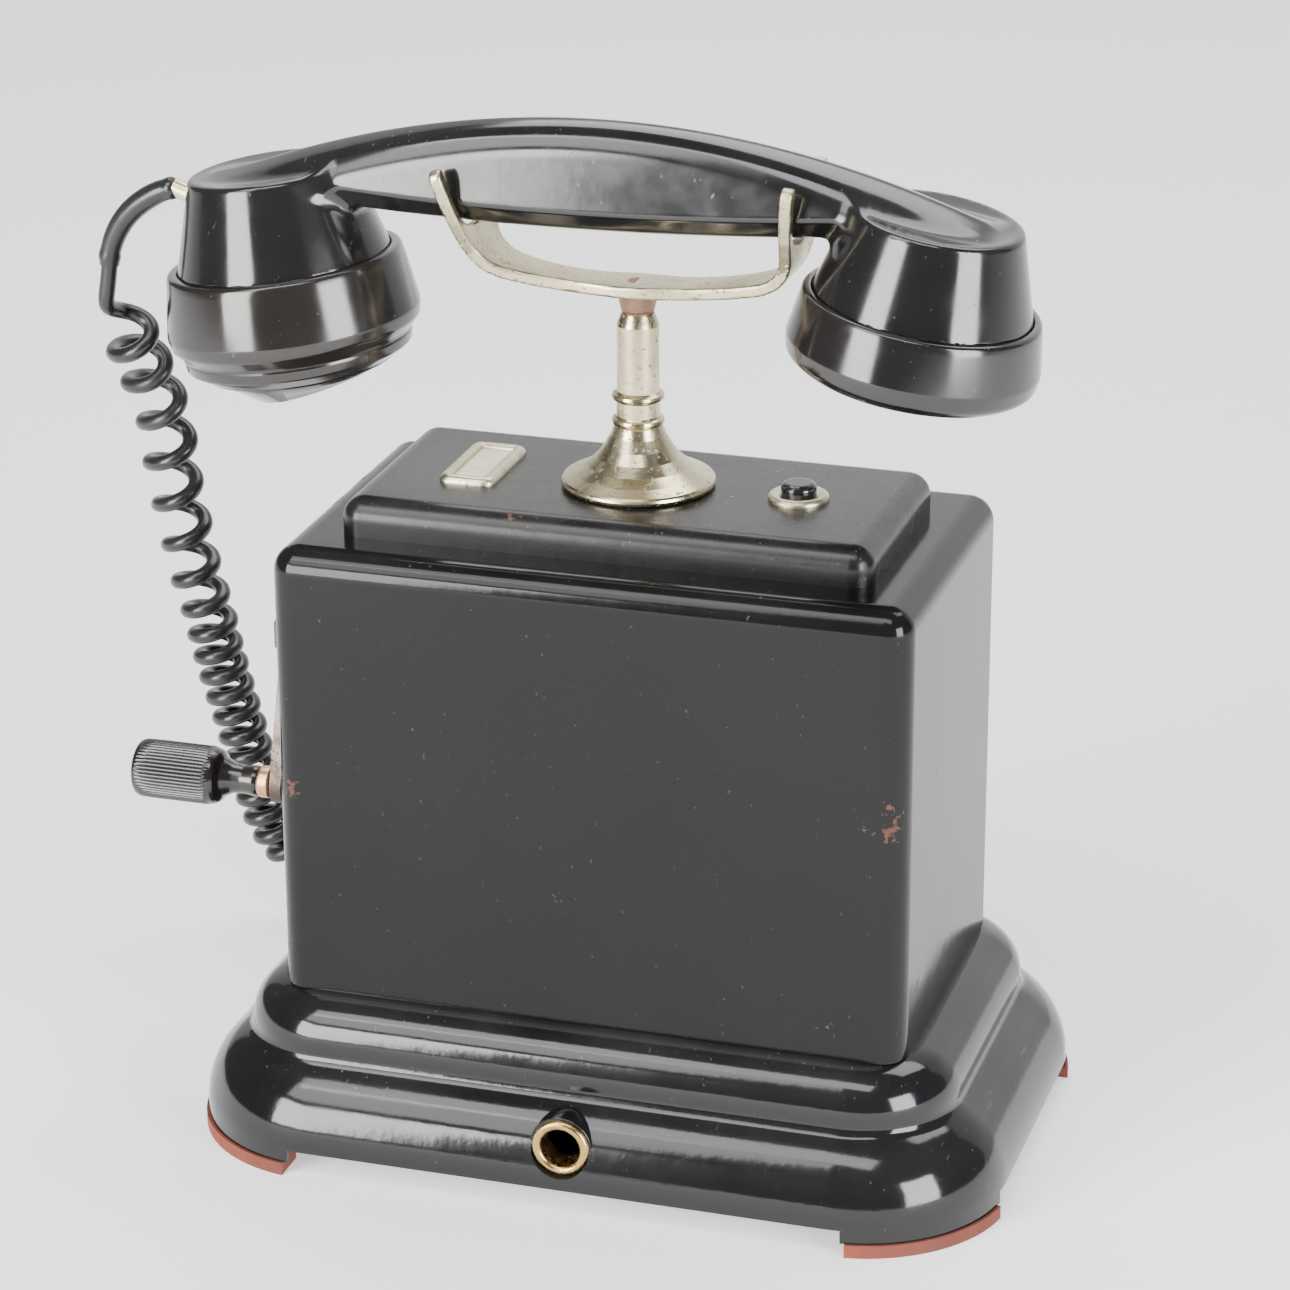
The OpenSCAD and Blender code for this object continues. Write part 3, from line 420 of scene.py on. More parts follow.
def wear_group():
    """Chips and scuffs: few on open faces, more where Edge is high."""

    def wire(s, i):
        where = i["Vector"]
        patch = s.noise(where, 55.0, 2.0, 0.5)
        grit = s.noise(where, i["Scale"], 5.0, 0.68)
        spot = s.math("ADD", s.math("MULTIPLY", patch, 0.5), s.math("MULTIPLY", grit, 0.5))
        lift = s.math("MULTIPLY", i["Edge"], i["Amount"])
        chips = s.ramp(s.math("ADD", spot, lift), 0.7, 0.712)
        stretched = s.add("ShaderNodeMapping", Vector=where)
        stretched.inputs["Rotation"].default_value = (0.4, 0.9, 0.3)
        stretched.inputs["Scale"].default_value = (9, 1, 6)
        line = s.noise(stretched.outputs[0], 95.0, 2.0, 0.4)
        scratch = s.ramp(line, 0.735, 0.775)
        return {"Chips": chips, "Scratches": scratch}

    return group("Chips and scratches", [
        ("Vector", VECTOR, None), ("Scale", NUMBER, 420.0), ("Edge", NUMBER, 0.0), ("Amount", NUMBER, 0.08)],
        ["Chips", "Scratches"], wire)


def dust_group():
    """Dust that lies on what faces up, as specks and a thin film, and finger smudges."""

    def wire(s, i):
        where = i["Vector"]
        facing = s.add("ShaderNodeSeparateXYZ", Vector=i["Normal"]).outputs[2]
        up = s.ramp(facing, 0.15, 0.95)
        film = s.ramp(s.noise(where, 26.0, 4.0, 0.6), 0.35, 0.75)
        speck = s.ramp(s.noise(where, 900.0, 2.0, 0.5), 0.68, 0.76)
        some = s.ramp(s.noise(where, 60.0, 3.0, 0.6), 0.42, 0.66)
        settled = s.math("ADD", s.math("MULTIPLY", up, 0.85), 0.15)
        lie = s.math("MULTIPLY", s.math("MULTIPLY", speck, some), settled)
        thin = s.math("MULTIPLY", s.math("MULTIPLY", film, up), 0.09)
        dust = s.math("MULTIPLY", s.math("ADD", lie, thin, clamp=True), i["Amount"])
        smudge = s.ramp(s.noise(where, 55.0, 5.0, 0.65), 0.3, 0.75)
        return {"Dust": dust, "Smudge": smudge}

    return group("Dust and smudges", [
        ("Vector", VECTOR, None), ("Normal", VECTOR, None), ("Amount", NUMBER, 0.5)],
        ["Dust", "Smudge"], wire)


def peel_group():
    """The fine waviness of a sprayed or moulded surface, as a height."""

    def wire(s, i):
        broad = s.noise(i["Vector"], s.math("MULTIPLY", i["Scale"], 0.28), 1.0)
        fine = s.noise(i["Vector"], i["Scale"], 3.0)
        return {"Height": s.math("ADD", s.math("MULTIPLY", broad, 2.2), fine)}

    return group("Surface waviness", [("Vector", VECTOR, None), ("Scale", NUMBER, 300.0)], ["Height"], wire)


def patina_group():
    """Blotches and pin-prick spots of worn plating or tarnish."""

    def wire(s, i):
        blotch = s.ramp(s.noise(i["Vector"], i["Scale"], 6.0, 0.7), 0.44, 0.64)
        pits = s.ramp(s.noise(i["Vector"], s.math("MULTIPLY", i["Scale"], 11.0), 2.0, 0.6), 0.6, 0.72)
        return {"Blotch": blotch, "Pits": pits}

    return group("Patina", [("Vector", VECTOR, None), ("Scale", NUMBER, 70.0)], ["Blotch", "Pits"], wire)


class Finish(Sketch):
    """A material with its Principled shader and coordinates ready."""

    def __init__(self, name):
        self.material = bpy.data.materials.new(name)
        self.material.use_nodes = True
        super().__init__(self.material.node_tree)
        self.shader = self.tree.nodes["Principled BSDF"]
        place_node = self.tree.nodes.new("ShaderNodeTexCoord")
        self.where = place_node.outputs["Object"]
        self.normal = place_node.outputs["Normal"]

    def use(self, tree, **values):
        node = self.tree.nodes.new("ShaderNodeGroup")
        node.node_tree = tree
        self.tree.links.new(self.where, node.inputs["Vector"])
        if "Normal" in node.inputs:
            self.tree.links.new(self.normal, node.inputs["Normal"])
        for key, value in values.items():
            self.feed(node, node.inputs.find(key.replace("_", " ")), value)
        return node.outputs

    def set(self, **values):
        for key, value in values.items():
            name = key.replace("_", " ")
            if isinstance(value, tuple):
                value = (*value[:3], 1)
            self.feed(self.shader, self.shader.inputs.find(name), value)

    def bump(self, height, strength, distance):
        node = self.tree.nodes.new("ShaderNodeBump")
        node.inputs["Strength"].default_value = strength
        node.inputs["Distance"].default_value = distance
        self.tree.links.new(height, node.inputs["Height"])
        self.tree.links.new(node.outputs[0], self.shader.inputs["Normal"])


def enamel(name, half_x, half_y, top, width, chips, rough, dust, peel, gloss_index):
    c = settings("colours")
    f = Finish(name)
    edge = f.use(edge_group(), Half_X=half_x, Half_Y=half_y, Top=top, Width=width)["Edge"]
    wear = f.use(wear_group(), Edge=edge, Amount=chips)
    soil = f.use(dust_group(), Amount=dust)
    primer = f.mix(f.ramp(f.noise(f.where, 420.0), 0.45, 0.62), tuple(c.primer), (0.085, 0.036, 0.024))
    tone = f.mix(f.ramp(f.noise(f.where, 9.0), 0.3, 0.7), tuple(c.enamel), tuple(1.5 * v for v in c.enamel))
    base = f.mix(f.math("MULTIPLY", wear["Scratches"], 0.25), tone, (0.1, 0.095, 0.09))
    base = f.mix(wear["Chips"], base, primer)
    f.set(Base_Color=f.mix(soil["Dust"], base, (0.3, 0.28, 0.24)))
    gloss = f.math("ADD", rough, f.math("MULTIPLY", soil["Smudge"], 0.04))
    worn = f.math("MAXIMUM", wear["Chips"], f.math("MULTIPLY", soil["Dust"], 0.8))
    f.set(Roughness=f.math("ADD", gloss, f.math("MULTIPLY", worn, 0.45), clamp=True), IOR=gloss_index)
    height = f.use(peel_group(), Scale=260.0)["Height"]
    height = f.math("SUBTRACT", height, f.math("MULTIPLY", wear["Chips"], 3.0))
    f.bump(height, peel, 0.00012)
    return f.material


def moulding(name, rough=0.13, dust=0.4, brown=0.0):
    c = settings("colours")
    f = Finish(name)
    soil = f.use(dust_group(), Amount=dust)
    wear = f.use(wear_group(), Scale=520.0, Amount=0.0)
    worn = (0.0085 + brown, 0.0082 + brown / 2, 0.009)
    tone = f.mix(f.ramp(f.noise(f.where, 14.0), 0.35, 0.7), tuple(c.moulding), worn)
    base = f.mix(f.math("MULTIPLY", wear["Scratches"], 0.3), tone, (0.1, 0.1, 0.1))
    f.set(Base_Color=f.mix(soil["Dust"], base, (0.32, 0.3, 0.27)))
    gloss = f.math("ADD", rough, f.math("MULTIPLY", soil["Smudge"], 0.09))
    gloss = f.math("ADD", gloss, f.math("MULTIPLY", wear["Scratches"], 0.15))
    f.set(Roughness=f.math("ADD", gloss, f.math("MULTIPLY", soil["Dust"], 0.5), clamp=True), IOR=1.6)
    height = f.use(peel_group(), Scale=150.0)["Height"]
    f.bump(f.math("SUBTRACT", height, f.math("MULTIPLY", wear["Chips"], 1.2)), 0.16, 0.00009)
    return f.material


def metal(name, base, spot, rough=0.26, scale=70.0, spots=0.75, dark=(0.09, 0.06, 0.035)):
    f = Finish(name)
    patina = f.use(patina_group(), Scale=scale)
    soil = f.use(dust_group(), Amount=0.3)
    colour_ = f.mix(f.math("MULTIPLY", patina["Blotch"], 0.6), tuple(base), tuple(spot))
    colour_ = f.mix(f.math("MULTIPLY", patina["Pits"], spots), colour_, dark)
    f.set(Base_Color=f.mix(soil["Dust"], colour_, (0.3, 0.27, 0.2)))
    f.set(Metallic=f.math("SUBTRACT", 1.0, f.math("MULTIPLY", patina["Pits"], spots * 0.8)))
    gloss = f.math("ADD", rough, f.math("MULTIPLY", patina["Blotch"], 0.16))
    gloss = f.math("ADD", gloss, f.math("MULTIPLY", patina["Pits"], 0.25))
    f.set(Roughness=f.math("ADD", gloss, f.math("MULTIPLY", soil["Smudge"], 0.06), clamp=True))
    height = f.use(peel_group(), Scale=420.0)["Height"]
    height = f.math("SUBTRACT", height, f.math("MULTIPLY", patina["Pits"], 1.5))
    f.bump(height, 0.22, 0.0001)
    return f.material


def rubber(name, base, rough=0.42, pale=0.25, grain=380.0):
    f = Finish(name)
    soil = f.use(dust_group(), Amount=pale)
    tone = f.mix(f.ramp(f.noise(f.where, 45.0), 0.3, 0.7), tuple(base), tuple(min(1, v * 1.7) for v in base))
    f.set(Base_Color=f.mix(soil["Dust"], tone, (0.32, 0.3, 0.28)))
    f.set(Roughness=f.math("ADD", rough, f.math("MULTIPLY", soil["Smudge"], 0.18), clamp=True))
    f.bump(f.use(peel_group(), Scale=grain)["Height"], 0.3, 0.00012)
    return f.material


def paper(name, base):
    f = Finish(name)
    stain = f.ramp(f.noise(f.where, 180.0, 5.0), 0.35, 0.7)
    f.set(Base_Color=f.mix(f.math("MULTIPLY", stain, 0.5), tuple(base), tuple(v * 0.7 for v in base)))
    f.set(Roughness=f.ramp(stain, 0.0, 1.0, 0.75, 0.9))
    f.bump(f.noise(f.where, 1800.0, 4.0), 0.3, 0.00008)
    return f.material


def dress(target, material):
    piece = NODES[target] if isinstance(target, str) else target
    piece.data.materials.clear()
    piece.data.materials.append(material)
    return piece


# ---------- the handset's shape, in millimetres ----------

TILT_LEFT = math.radians(-7.5)
TILT_RIGHT = math.radians(10.6)
SHIFT_X = -10.4
SLOPE = math.radians(0.75)
HOUSING_R = 26.4
HOUSING_H = {-1: 22.0, 1: 20.6}
HOUSING_TAPER = math.tan(math.radians(16))
LEAN = math.tan(math.radians(13))


def handset_matrix():
    height = settings("handset").shift
    return Matrix.Translation((SHIFT_X * MM, 0, height)) @ Matrix.Rotation(-SLOPE, 4, "Y")


def cap_matrix(side):
    span = settings("handset").span
    tilt = TILT_LEFT if side < 0 else TILT_RIGHT
    return handset_matrix() @ Matrix.Translation((side * span / 2, 0, 0)) @ Matrix.Rotation(tilt, 4, "Y")


def handle_value(p):
    """Signed value of the handle: a low crown, flat sides, bevelled belly."""
    h = settings("handset")
    x, y, z = p[:, 0], np.abs(p[:, 1]), p[:, 2]
    rise, thick, half = h.rise / MM, h.thick / MM, h.half / MM
    top = rise - x * x / 476
    low = np.minimum(rise - thick + x * x / 1666, top - 16)
    crown = (z - top + 0.14 * np.sqrt(y * y + 1)) / 1.01
    shoulder = (z - top - 3.4 + 0.7 * y) / math.hypot(1, 0.7)
    side = (y - half + (z - low) * LEAN) * math.cos(math.atan(LEAN))
    chamfer = (low - z + (y - 6.5) * 7 / 6) / math.hypot(1, 7 / 6)
    roof = soft_max(crown, shoulder, 5.0)
    body = soft_max(roof, side, 4.5)
    body = soft_max(body, chamfer, 0.9)
    body = soft_max(body, low - z, 1.6)
    return soft_max(body, np.abs(x) - 98, 3)


def housing_value(p, side):
    h = settings("handset")
    tilt = TILT_LEFT if side < 0 else TILT_RIGHT
    x = p[:, 0] - side * h.span / MM / 2
    u = x * math.cos(tilt) - p[:, 2] * math.sin(tilt)
    v = x * math.sin(tilt) + p[:, 2] * math.cos(tilt)
    r = np.hypot(u, p[:, 1])
    high = HOUSING_H[side]
    wall = (r - HOUSING_R + v * HOUSING_TAPER) * math.cos(math.radians(16))
    dish = 1.3 * np.clip(1 - (r / 18.5) ** 2, 0, 1)
    return soft_max(soft_max(wall, v - high + dish, 1.1), -1.5 - v, 1)


def handset_value(p_m):
    p = p_m / MM
    body = handle_value(p)
    for side in (-1, 1):
        body = soft_min(body, housing_value(p, side), 4.0)
    return body * MM


class PHONE_OT_stage(bpy.types.Operator):
    """Pale floor with a swept-up back, soft lights and the camera"""
    bl_idname = "phone.stage"
    bl_label = "Stage, lights and camera"

    def execute(self, context):
        c = settings("colours")
        scene = context.scene
        clear_selection()
        bpy.ops.mesh.primitive_plane_add(size=1)
        floor = take("floor")
        floor.scale = (12, 6, 1)
        floor.location = (0, 0.2, 0)
        bpy.ops.object.transform_apply(location=True, scale=True)
        bpy.ops.object.mode_set(mode="EDIT")
        bpy.ops.mesh.select_all(action="DESELECT")
        bpy.ops.object.mode_set(mode="OBJECT")
        for edge in floor.data.edges:
            edge.select = all(floor.data.vertices[v].co.y > 3 for v in edge.vertices)
        bpy.ops.object.mode_set(mode="EDIT")
        reach = 1.2
        for k in range(10):
            a, b = math.radians(9 * k), math.radians(9 * (k + 1))
            step = (0, reach * (math.sin(b) - math.sin(a)), reach * (math.cos(a) - math.cos(b)))
            bpy.ops.mesh.extrude_region_move(TRANSFORM_OT_translate={"value": step})
        bpy.ops.mesh.extrude_region_move(TRANSFORM_OT_translate={"value": (0, 0, 4)})
        bpy.ops.object.mode_set(mode="OBJECT")
        smooth(floor, 60)
        f = Finish("studio paper")
        shade = f.ramp(f.noise(f.where, 2.0), 0.2, 0.8)
        f.set(Base_Color=f.mix(shade, tuple(c.floor), tuple(0.985 * v for v in c.floor)))
        f.set(Roughness=f.ramp(shade, 0, 1, 0.8, 0.9))
        f.set(Emission_Color=(1.0, 1.0, 0.995, 1), Emission_Strength=0.5)
        dress(floor, f.material)

        world = scene.world or bpy.data.worlds.new("studio")
        scene.world = world
        world.use_nodes = True
        back = world.node_tree.nodes.get("Background") or world.node_tree.nodes.new("ShaderNodeBackground")
        back.inputs["Color"].default_value = (0.92, 0.96, 1.0, 1)
        back.inputs["Strength"].default_value = 0.18

        self.light("left box", -32.3, 12, 1.45, (0.66, 0.76), 36, (1.0, 0.99, 0.97))
        self.light("left box, upper", -31.5, 42, 1.45, (0.6, 0.5), 6, (1.0, 0.99, 0.97))
        self.light("right box", 61, 9.5, 1.45, (0.66, 0.76), 33, (0.98, 0.99, 1.0))
        self.light("front top", -8, 60, 1.5, (1.3, 0.42), 13, (1.0, 1.0, 1.0))
        self.light("back top", 172, 62, 2.0, (2.2, 1.0), 42, (1.0, 1.0, 1.0))
        self.light("sweep", 180, 20, 2.0, (2.4, 0.8), 60, (1.0, 1.0, 1.0), (0, 3.4, 0.9))

        azimuth, elevation, roll = (math.radians(v) for v in (17.268, 21.275, -0.2406))
        out = Vector((
            math.sin(azimuth) * math.cos(elevation), -math.cos(azimuth) * math.cos(elevation), math.sin(elevation)))
        right = Vector((math.cos(azimuth), math.sin(azimuth), 0))
        up = out.cross(right)
        turned = math.cos(roll) * right + math.sin(roll) * up
        raised = -math.sin(roll) * right + math.cos(roll) * up
        data = bpy.data.cameras.new("camera")
        data.lens, data.sensor_width, data.clip_end = 121.718, 36, 30
        camera = bpy.data.objects.new("camera", data)
        scene.collection.objects.link(camera)
        place_at = Vector((1.452, 0, 124.036)) * MM + out * 1.08256
        camera.matrix_world = Matrix.Translation(place_at) @ Matrix((turned, raised, out)).transposed().to_4x4()
        scene.camera = camera
        return {"FINISHED"}

    def light(self, name, azimuth, elevation, distance, size, power, tint, towards=(0, 0, 0.15)):
        """A soft box at an azimuth from the front, to the right, and an elevation, both in degrees."""
        a, e = math.radians(azimuth), math.radians(elevation)
        data = bpy.data.lights.new(name, "AREA")
        data.shape, data.size, data.size_y = "RECTANGLE", size[0], size[1]
        data.energy, data.color = power, tint
        lamp = bpy.data.objects.new(name, data)
        way = Vector((math.sin(a) * math.cos(e), -math.cos(a) * math.cos(e), math.sin(e)))
        lamp.location = Vector((0, 0, 0.15)) + way * distance
        lamp.rotation_euler = (Vector(towards) - lamp.location).to_track_quat("-Z", "Y").to_euler()
        bpy.context.scene.collection.objects.link(lamp)


# Centreline of the curls, then of the plain tail, in millimetres
COIL_ROUTE = [(-136, 1.5, 198), (-137, 10, 187), (-139.5, 24, 173.5), (-140.5, 35, 158.3),
    (-143.4, 45, 141), (-144, 52, 124.5), (-142.9, 56, 108.7), (-141, 59, 96.3),
    (-139.3, 61, 83.8), (-137.2, 63, 71.5), (-134.8, 65, 59), (-132, 67.5, 42), (-128.5, 71, 28),
    (-122, 76, 17), (-113, 81, 11.6), (-104, 85.5, 9.3)]
TAIL_ROUTE = [(-104, 85.5, 9.3), (-98, 88.2, 6.4), (-91, 90.2, 3.6), (-83, 91.8, 2.4),
    (-74, 92.5, 2.3), (-66, 92, 2.6), (-58, 90.5, 4.2), (-51.5, 88, 7.6), (-47, 84.5, 12.4),
    (-45.2, 80.5, 16), (-45, 76.5, 17.2)]
LEAD_ROUTE = [(-138.2, 0, 210.6), (-139, 0, 205), (-139.8, 0, 200.6)]
BOOT_ROUTE = [(-119.6, 0, 231.9), (-124, 0, 230.3), (-129, 0, 227.2), (-133, 0, 223.4),
    (-136, 0, 218.8), (-137.8, 0, 214), (-138.2, 0, 210.6)]


def even(points, count):
    """The same line through points, smoothed, in count equal steps."""
    p = np.array(points, float)
    ends = np.vstack([2 * p[0] - p[1], p, 2 * p[-1] - p[-2]])
    fine = []
    for i in range(1, len(ends) - 2):
        a, b, c, d = ends[i - 1:i + 3]
        for t in np.linspace(0, 1, 24, endpoint=False):
            fine.append(0.5 * (
                2 * b + (c - a) * t + (2 * a - 5 * b + 4 * c - d) * t * t + (3 * b - a - 3 * c + d) * t ** 3))
    fine = np.array(fine + [p[-1]])
    run = np.concatenate([[0], np.cumsum(np.linalg.norm(np.diff(fine, axis=0), axis=1))])
    return np.stack([np.interp(np.linspace(0, run[-1], count), run, fine[:, k]) for k in range(3)], 1)


def path_length(points):
    return float(np.linalg.norm(np.diff(np.array(points), axis=0), axis=1).sum())


def curled(route, coil_radius, turns, per_turn=22):
    """A helix that winds round a route: open at the top, tighter towards the base, closing in at its end."""
    t = np.linspace(0, 1, turns * per_turn + 1)
    line = even(route, 1201)
    heading = np.gradient(line, axis=0)
    heading /= np.linalg.norm(heading, axis=1)[:, None]
    axis = heading + np.array((0, 0, -2.6)) * np.clip(-heading[:, 2:], 0, 1) ** 2
    axis /= np.linalg.norm(axis, axis=1)[:, None]
    u = np.cross(axis, (0, 1, 0.2))
    u /= np.linalg.norm(u, axis=1)[:, None]
    v = np.cross(axis, u)
    ease = lambda x: np.clip(x, 0, 1) ** 2 * (3 - 2 * np.clip(x, 0, 1))
    last = ease(1 - (1 - t) * turns / 1.8)
    pitch = 1 + 1.75 * (1 - ease((t - 0.1) / 0.36)) + 2.6 * last
    along = np.concatenate([[0], np.cumsum(pitch[1:] + pitch[:-1])])
    along *= 1200 / along[-1]
    k = np.clip(along.astype(int), 0, 1199)
    w = (along - k)[:, None]
    centre = line[k] * (1 - w) + line[k + 1] * w
    swell = coil_radius * (1.06 - 0.1 * ease(t * 1.6)) * np.minimum(1, 0.62 + t * turns * 0.8) * (1 - last)
    a = (2 * math.pi * turns * t + math.radians(178))[:, None]
    return centre + swell[:, None] * (np.cos(a) * u[k] + np.sin(a) * v[k])


def tube(name, points, diameter, sides=14):
    """A curve with a round section along points in metres, turned into a mesh with capped ends."""
    data = bpy.data.curves.new(name, "CURVE")
    data.dimensions = "3D"
    spline = data.splines.new("POLY")
    spline.points.add(len(points) - 1)
    spline.points.foreach_set("co", np.hstack([points, np.ones((len(points), 1))]).ravel())
    data.bevel_depth = diameter / 2
    data.bevel_resolution = max(1, sides // 2 - 2)
    data.use_fill_caps = True
    made = bpy.data.objects.new(name, data)
    bpy.context.scene.collection.objects.link(made)
    pick(made)
    bpy.ops.object.convert(target="MESH")
    piece = take(name)
    smooth(piece, 50)
    return piece


class PHONE_OT_handset_cord(bpy.types.Operator):
    """Rubber boot, straight lead, curls and tail of the handset cord"""
    bl_idname = "phone.handset_cord"
    bl_label = "Handset cord"

    def execute(self, context):
        c = settings("cord")
        wire, coil = c.wire, c.coil
        radius = (coil - wire) / 2 / MM
        curls = curled(COIL_ROUTE, radius, c.turns)
        lead = even(LEAD_ROUTE, 6)
        tail = even(TAIL_ROUTE, 60)
        start = lead[-1]
        whole = np.vstack([lead, start + (0.1, 1.0, -1.6), curls[3:-1], tail[1:]])
        whole = even(whole, int(path_length(whole) / 0.95))
        for _ in range(5):
            whole[1:-1] = (whole[:-2] + 2 * whole[1:-1] + whole[2:]) / 4
        whole *= MM
        part = int(len(whole) * 0.30)
        upper, lower = whole[:part + 1], whole[part:]
        rubber_black = rubber("black cord rubber", c_tuple("cord"), 0.22, 0.3)
        top = tube("handset_cord_upper", upper, wire)
        low = tube("handset_cord_lower", lower, wire)
        for piece in (top, low):
            dress(piece, rubber_black)
        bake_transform(top)
        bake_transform(low)
        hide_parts("handset_cord_lead")
        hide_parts("handset_cord_coil", "handset_cord_tail")

        sleeve = tube("handset_cord_boot", even(BOOT_ROUTE, 40) * MM, 0.0058, 20)
        co = coordinates(sleeve)
        line = even(BOOT_ROUTE, 200) * MM
        near = np.linalg.norm(co[:, None] - line[None], axis=2).argmin(1)
        t = near / 199
        ring = 0.42 * np.exp(-((t - 0.03) / 0.03) ** 2) + 0.36 * np.exp(-((t - 0.93) / 0.035) ** 2)
        width = 0.86 + 0.16 * np.sin(math.pi * np.clip(t, 0, 1) ** 0.7) + 0.28 * ring
        place(sleeve, line[near] + (co - line[near]) * width[:, None])
        dress(sleeve, rubber_black)
        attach(sleeve, "handset")
        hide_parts("cord_boot")
        dress("cord_gland", rubber_black)
        dress("cord_ferrule", metal("cord ferrule brass", (0.72, 0.62, 0.4), (0.5, 0.38, 0.18), 0.3, 160))
        return {"FINISHED"}


def c_tuple(name):
    return tuple(getattr(settings("colours"), name))


class PHONE_OT_handset_body(bpy.types.Operator):
    """One moulding: a curved handle that runs into two tapered housings"""
    bl_idname = "phone.handset_body"
    bl_label = "Handset body"

    def execute(self, context):
        h = settings("handset")
        clear_selection()
        bpy.ops.mesh.primitive_cube_add(size=1, location=(0, 0, 0.5))
        bar = take("handset_moulding")
        bpy.ops.object.transform_apply(location=True)
        bpy.ops.object.mode_set(mode="EDIT")
        bpy.ops.mesh.subdivide(number_cuts=30)
        bpy.ops.object.mode_set(mode="OBJECT")
        co = coordinates(bar)
        x = co[:, 0] * 190
        top = h.rise / MM - x * x / 476
        low = h.rise / MM - h.thick / MM + x * x / 1666
        low = np.minimum(low, top - 12)
        z = low + 0.5 + (top - low - 1) * co[:, 2]
        place(bar, np.stack([x, co[:, 1] * (2 * h.half / MM - 1), z], 1) * MM)
        blanks = [bar]
        for side in (-1, 1):
            tilt = TILT_LEFT if side < 0 else TILT_RIGHT
            high = HOUSING_H[side]
            bpy.ops.mesh.primitive_cone_add(
                vertices=96, radius1=HOUSING_R * MM, radius2=(HOUSING_R - high * HOUSING_TAPER) * MM,
                depth=(high + 1.5) * MM, location=(0, 0, (high - 1.5) / 2 * MM))
            cone = take("housing_blank")
            settle(cone, Matrix.Identity(4))
            cone.data.transform(Matrix.Translation((side * h.span / 2, 0, 0)) @ Matrix.Rotation(tilt, 4, "Y"))
            blanks.append(cone)
        clear_selection()
        for blank in blanks:
            blank.select_set(True)
        context.view_layer.objects.active = bar
        bpy.ops.object.join()
        carve(bar, handset_value, h.voxel)
        bar.data.transform(handset_matrix())
        dress(bar, moulding("black phenolic", 0.1, 0.4))
        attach(bar, "handset")
        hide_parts("handset_body")
        return {"FINISHED"}


class PHONE_OT_caps(bpy.types.Operator):
    """The screwed-on transmitter and receiver caps"""
    bl_idname = "phone.caps"
    bl_label = "Caps"

    def execute(self, context):
        mm = lambda rows: [(r * MM, z * MM, f * MM) for r, z, f in rows]
        finish = moulding("black phenolic caps", 0.12, 0.55, 0.004)

        ring = lathe("transmitter_ring", mm([
            (25.2, -6, 0), (25.2, -1.2, 0.4), (26.75, -1.2, 0.3), (26.75, -0.45, 0.35),
            (29.2, -0.55, 1.3), (29.75, -3.2, 1),
            (31.7, -15.8, 3), (31.3, -18.6, 2.2), (28.9, -21.2, 0.8), (28.5, -21.9, 0.4), (28.6, -22.6, 0.3),
            (28.2, -24.9, 1.1), (23.6, -27.6, 0.5), (23.3, -28.1, 0.3), (22.6, -28.15, 0.3), (22.2, -28.0, 0),
            (18, -27.5, 0), (18, -10, 0)]), 160)
        horn = lathe("transmitter_horn", mm([
            (19, -25.5, 0), (22.4, -25.5, 0.1), (22.6, -27.9, 0.3), (20.5, -29.2, 0.5), (1.6, -42.2, 0.2), (0, -42.3, 0)]), 160)
        pick(horn)
        bpy.ops.object.mode_set(mode="EDIT")
        bpy.ops.mesh.select_all(action="SELECT")
        cut = Vector((math.sin(math.radians(11.8)), 0, -math.cos(math.radians(11.8))))
        bpy.ops.mesh.bisect(plane_co=Vector((4.2, 0, -32.6)) * MM, plane_no=cut, use_fill=True, clear_outer=True)
        bpy.ops.mesh.inset(thickness=1.1 * MM, depth=0)
        bpy.ops.mesh.extrude_region_move(TRANSFORM_OT_translate={"value": tuple(-cut * 2.2 * MM)})
        bpy.ops.object.mode_set(mode="OBJECT")
        modifier(horn, "BEVEL", width=0.5 * MM, segments=3, limit_method="ANGLE", angle_limit=math.radians(38))
        clear_selection()
        ring.select_set(True)
        horn.select_set(True)
        context.view_layer.objects.active = ring
        bpy.ops.object.join()
        ring.name = ring.data.name = "transmitter_cap_moulding"
        smooth(ring)

        ear = lathe("receiver_cap_moulding", mm([
            (25.2, -6, 0), (25.2, -1.2, 0.4), (26.75, -1.2, 0.3), (26.75, -0.45, 0.35),
            (28.7, -0.55, 1.3), (29.2, -3, 1),
            (30.8, -12.6, 3), (30.3, -16.6, 3), (27.6, -18.6, 2), (22, -18.9, 3), (12, -16.4, 5), (0, -15.9, 0)]), 160)
        clear_selection()
        drills = []
        for k in range(7):
            a, out = k * math.pi / 3, 0 if k == 6 else 8
            bpy.ops.mesh.primitive_cylinder_add(
                vertices=24, radius=1.3 * MM, depth=8 * MM,
                location=(out * MM * math.cos(a), out * MM * math.sin(a), -17 * MM))
            drills.append(take("drill"))
        for drill in drills:
            drill.select_set(True)
        context.view_layer.objects.active = drills[0]
        bpy.ops.object.join()
        settle(drills[0])
        modifier(ear, "BOOLEAN", operation="DIFFERENCE", solver="EXACT", object=drills[0])
        bpy.data.objects.remove(drills[0])
        smooth(ear)

        for piece, side, node in ((ring, -1, "transmitter_cap"), (ear, 1, "receiver_cap")):
            settle(piece)
            piece.data.transform(cap_matrix(side))
            dress(piece, finish)
            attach(piece, "handset")
            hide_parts(node)
        return {"FINISHED"}


# ---------- the cradle, bent from one flat strip ----------

STRIP_Z, STRIP_T = 215.0, 3.0


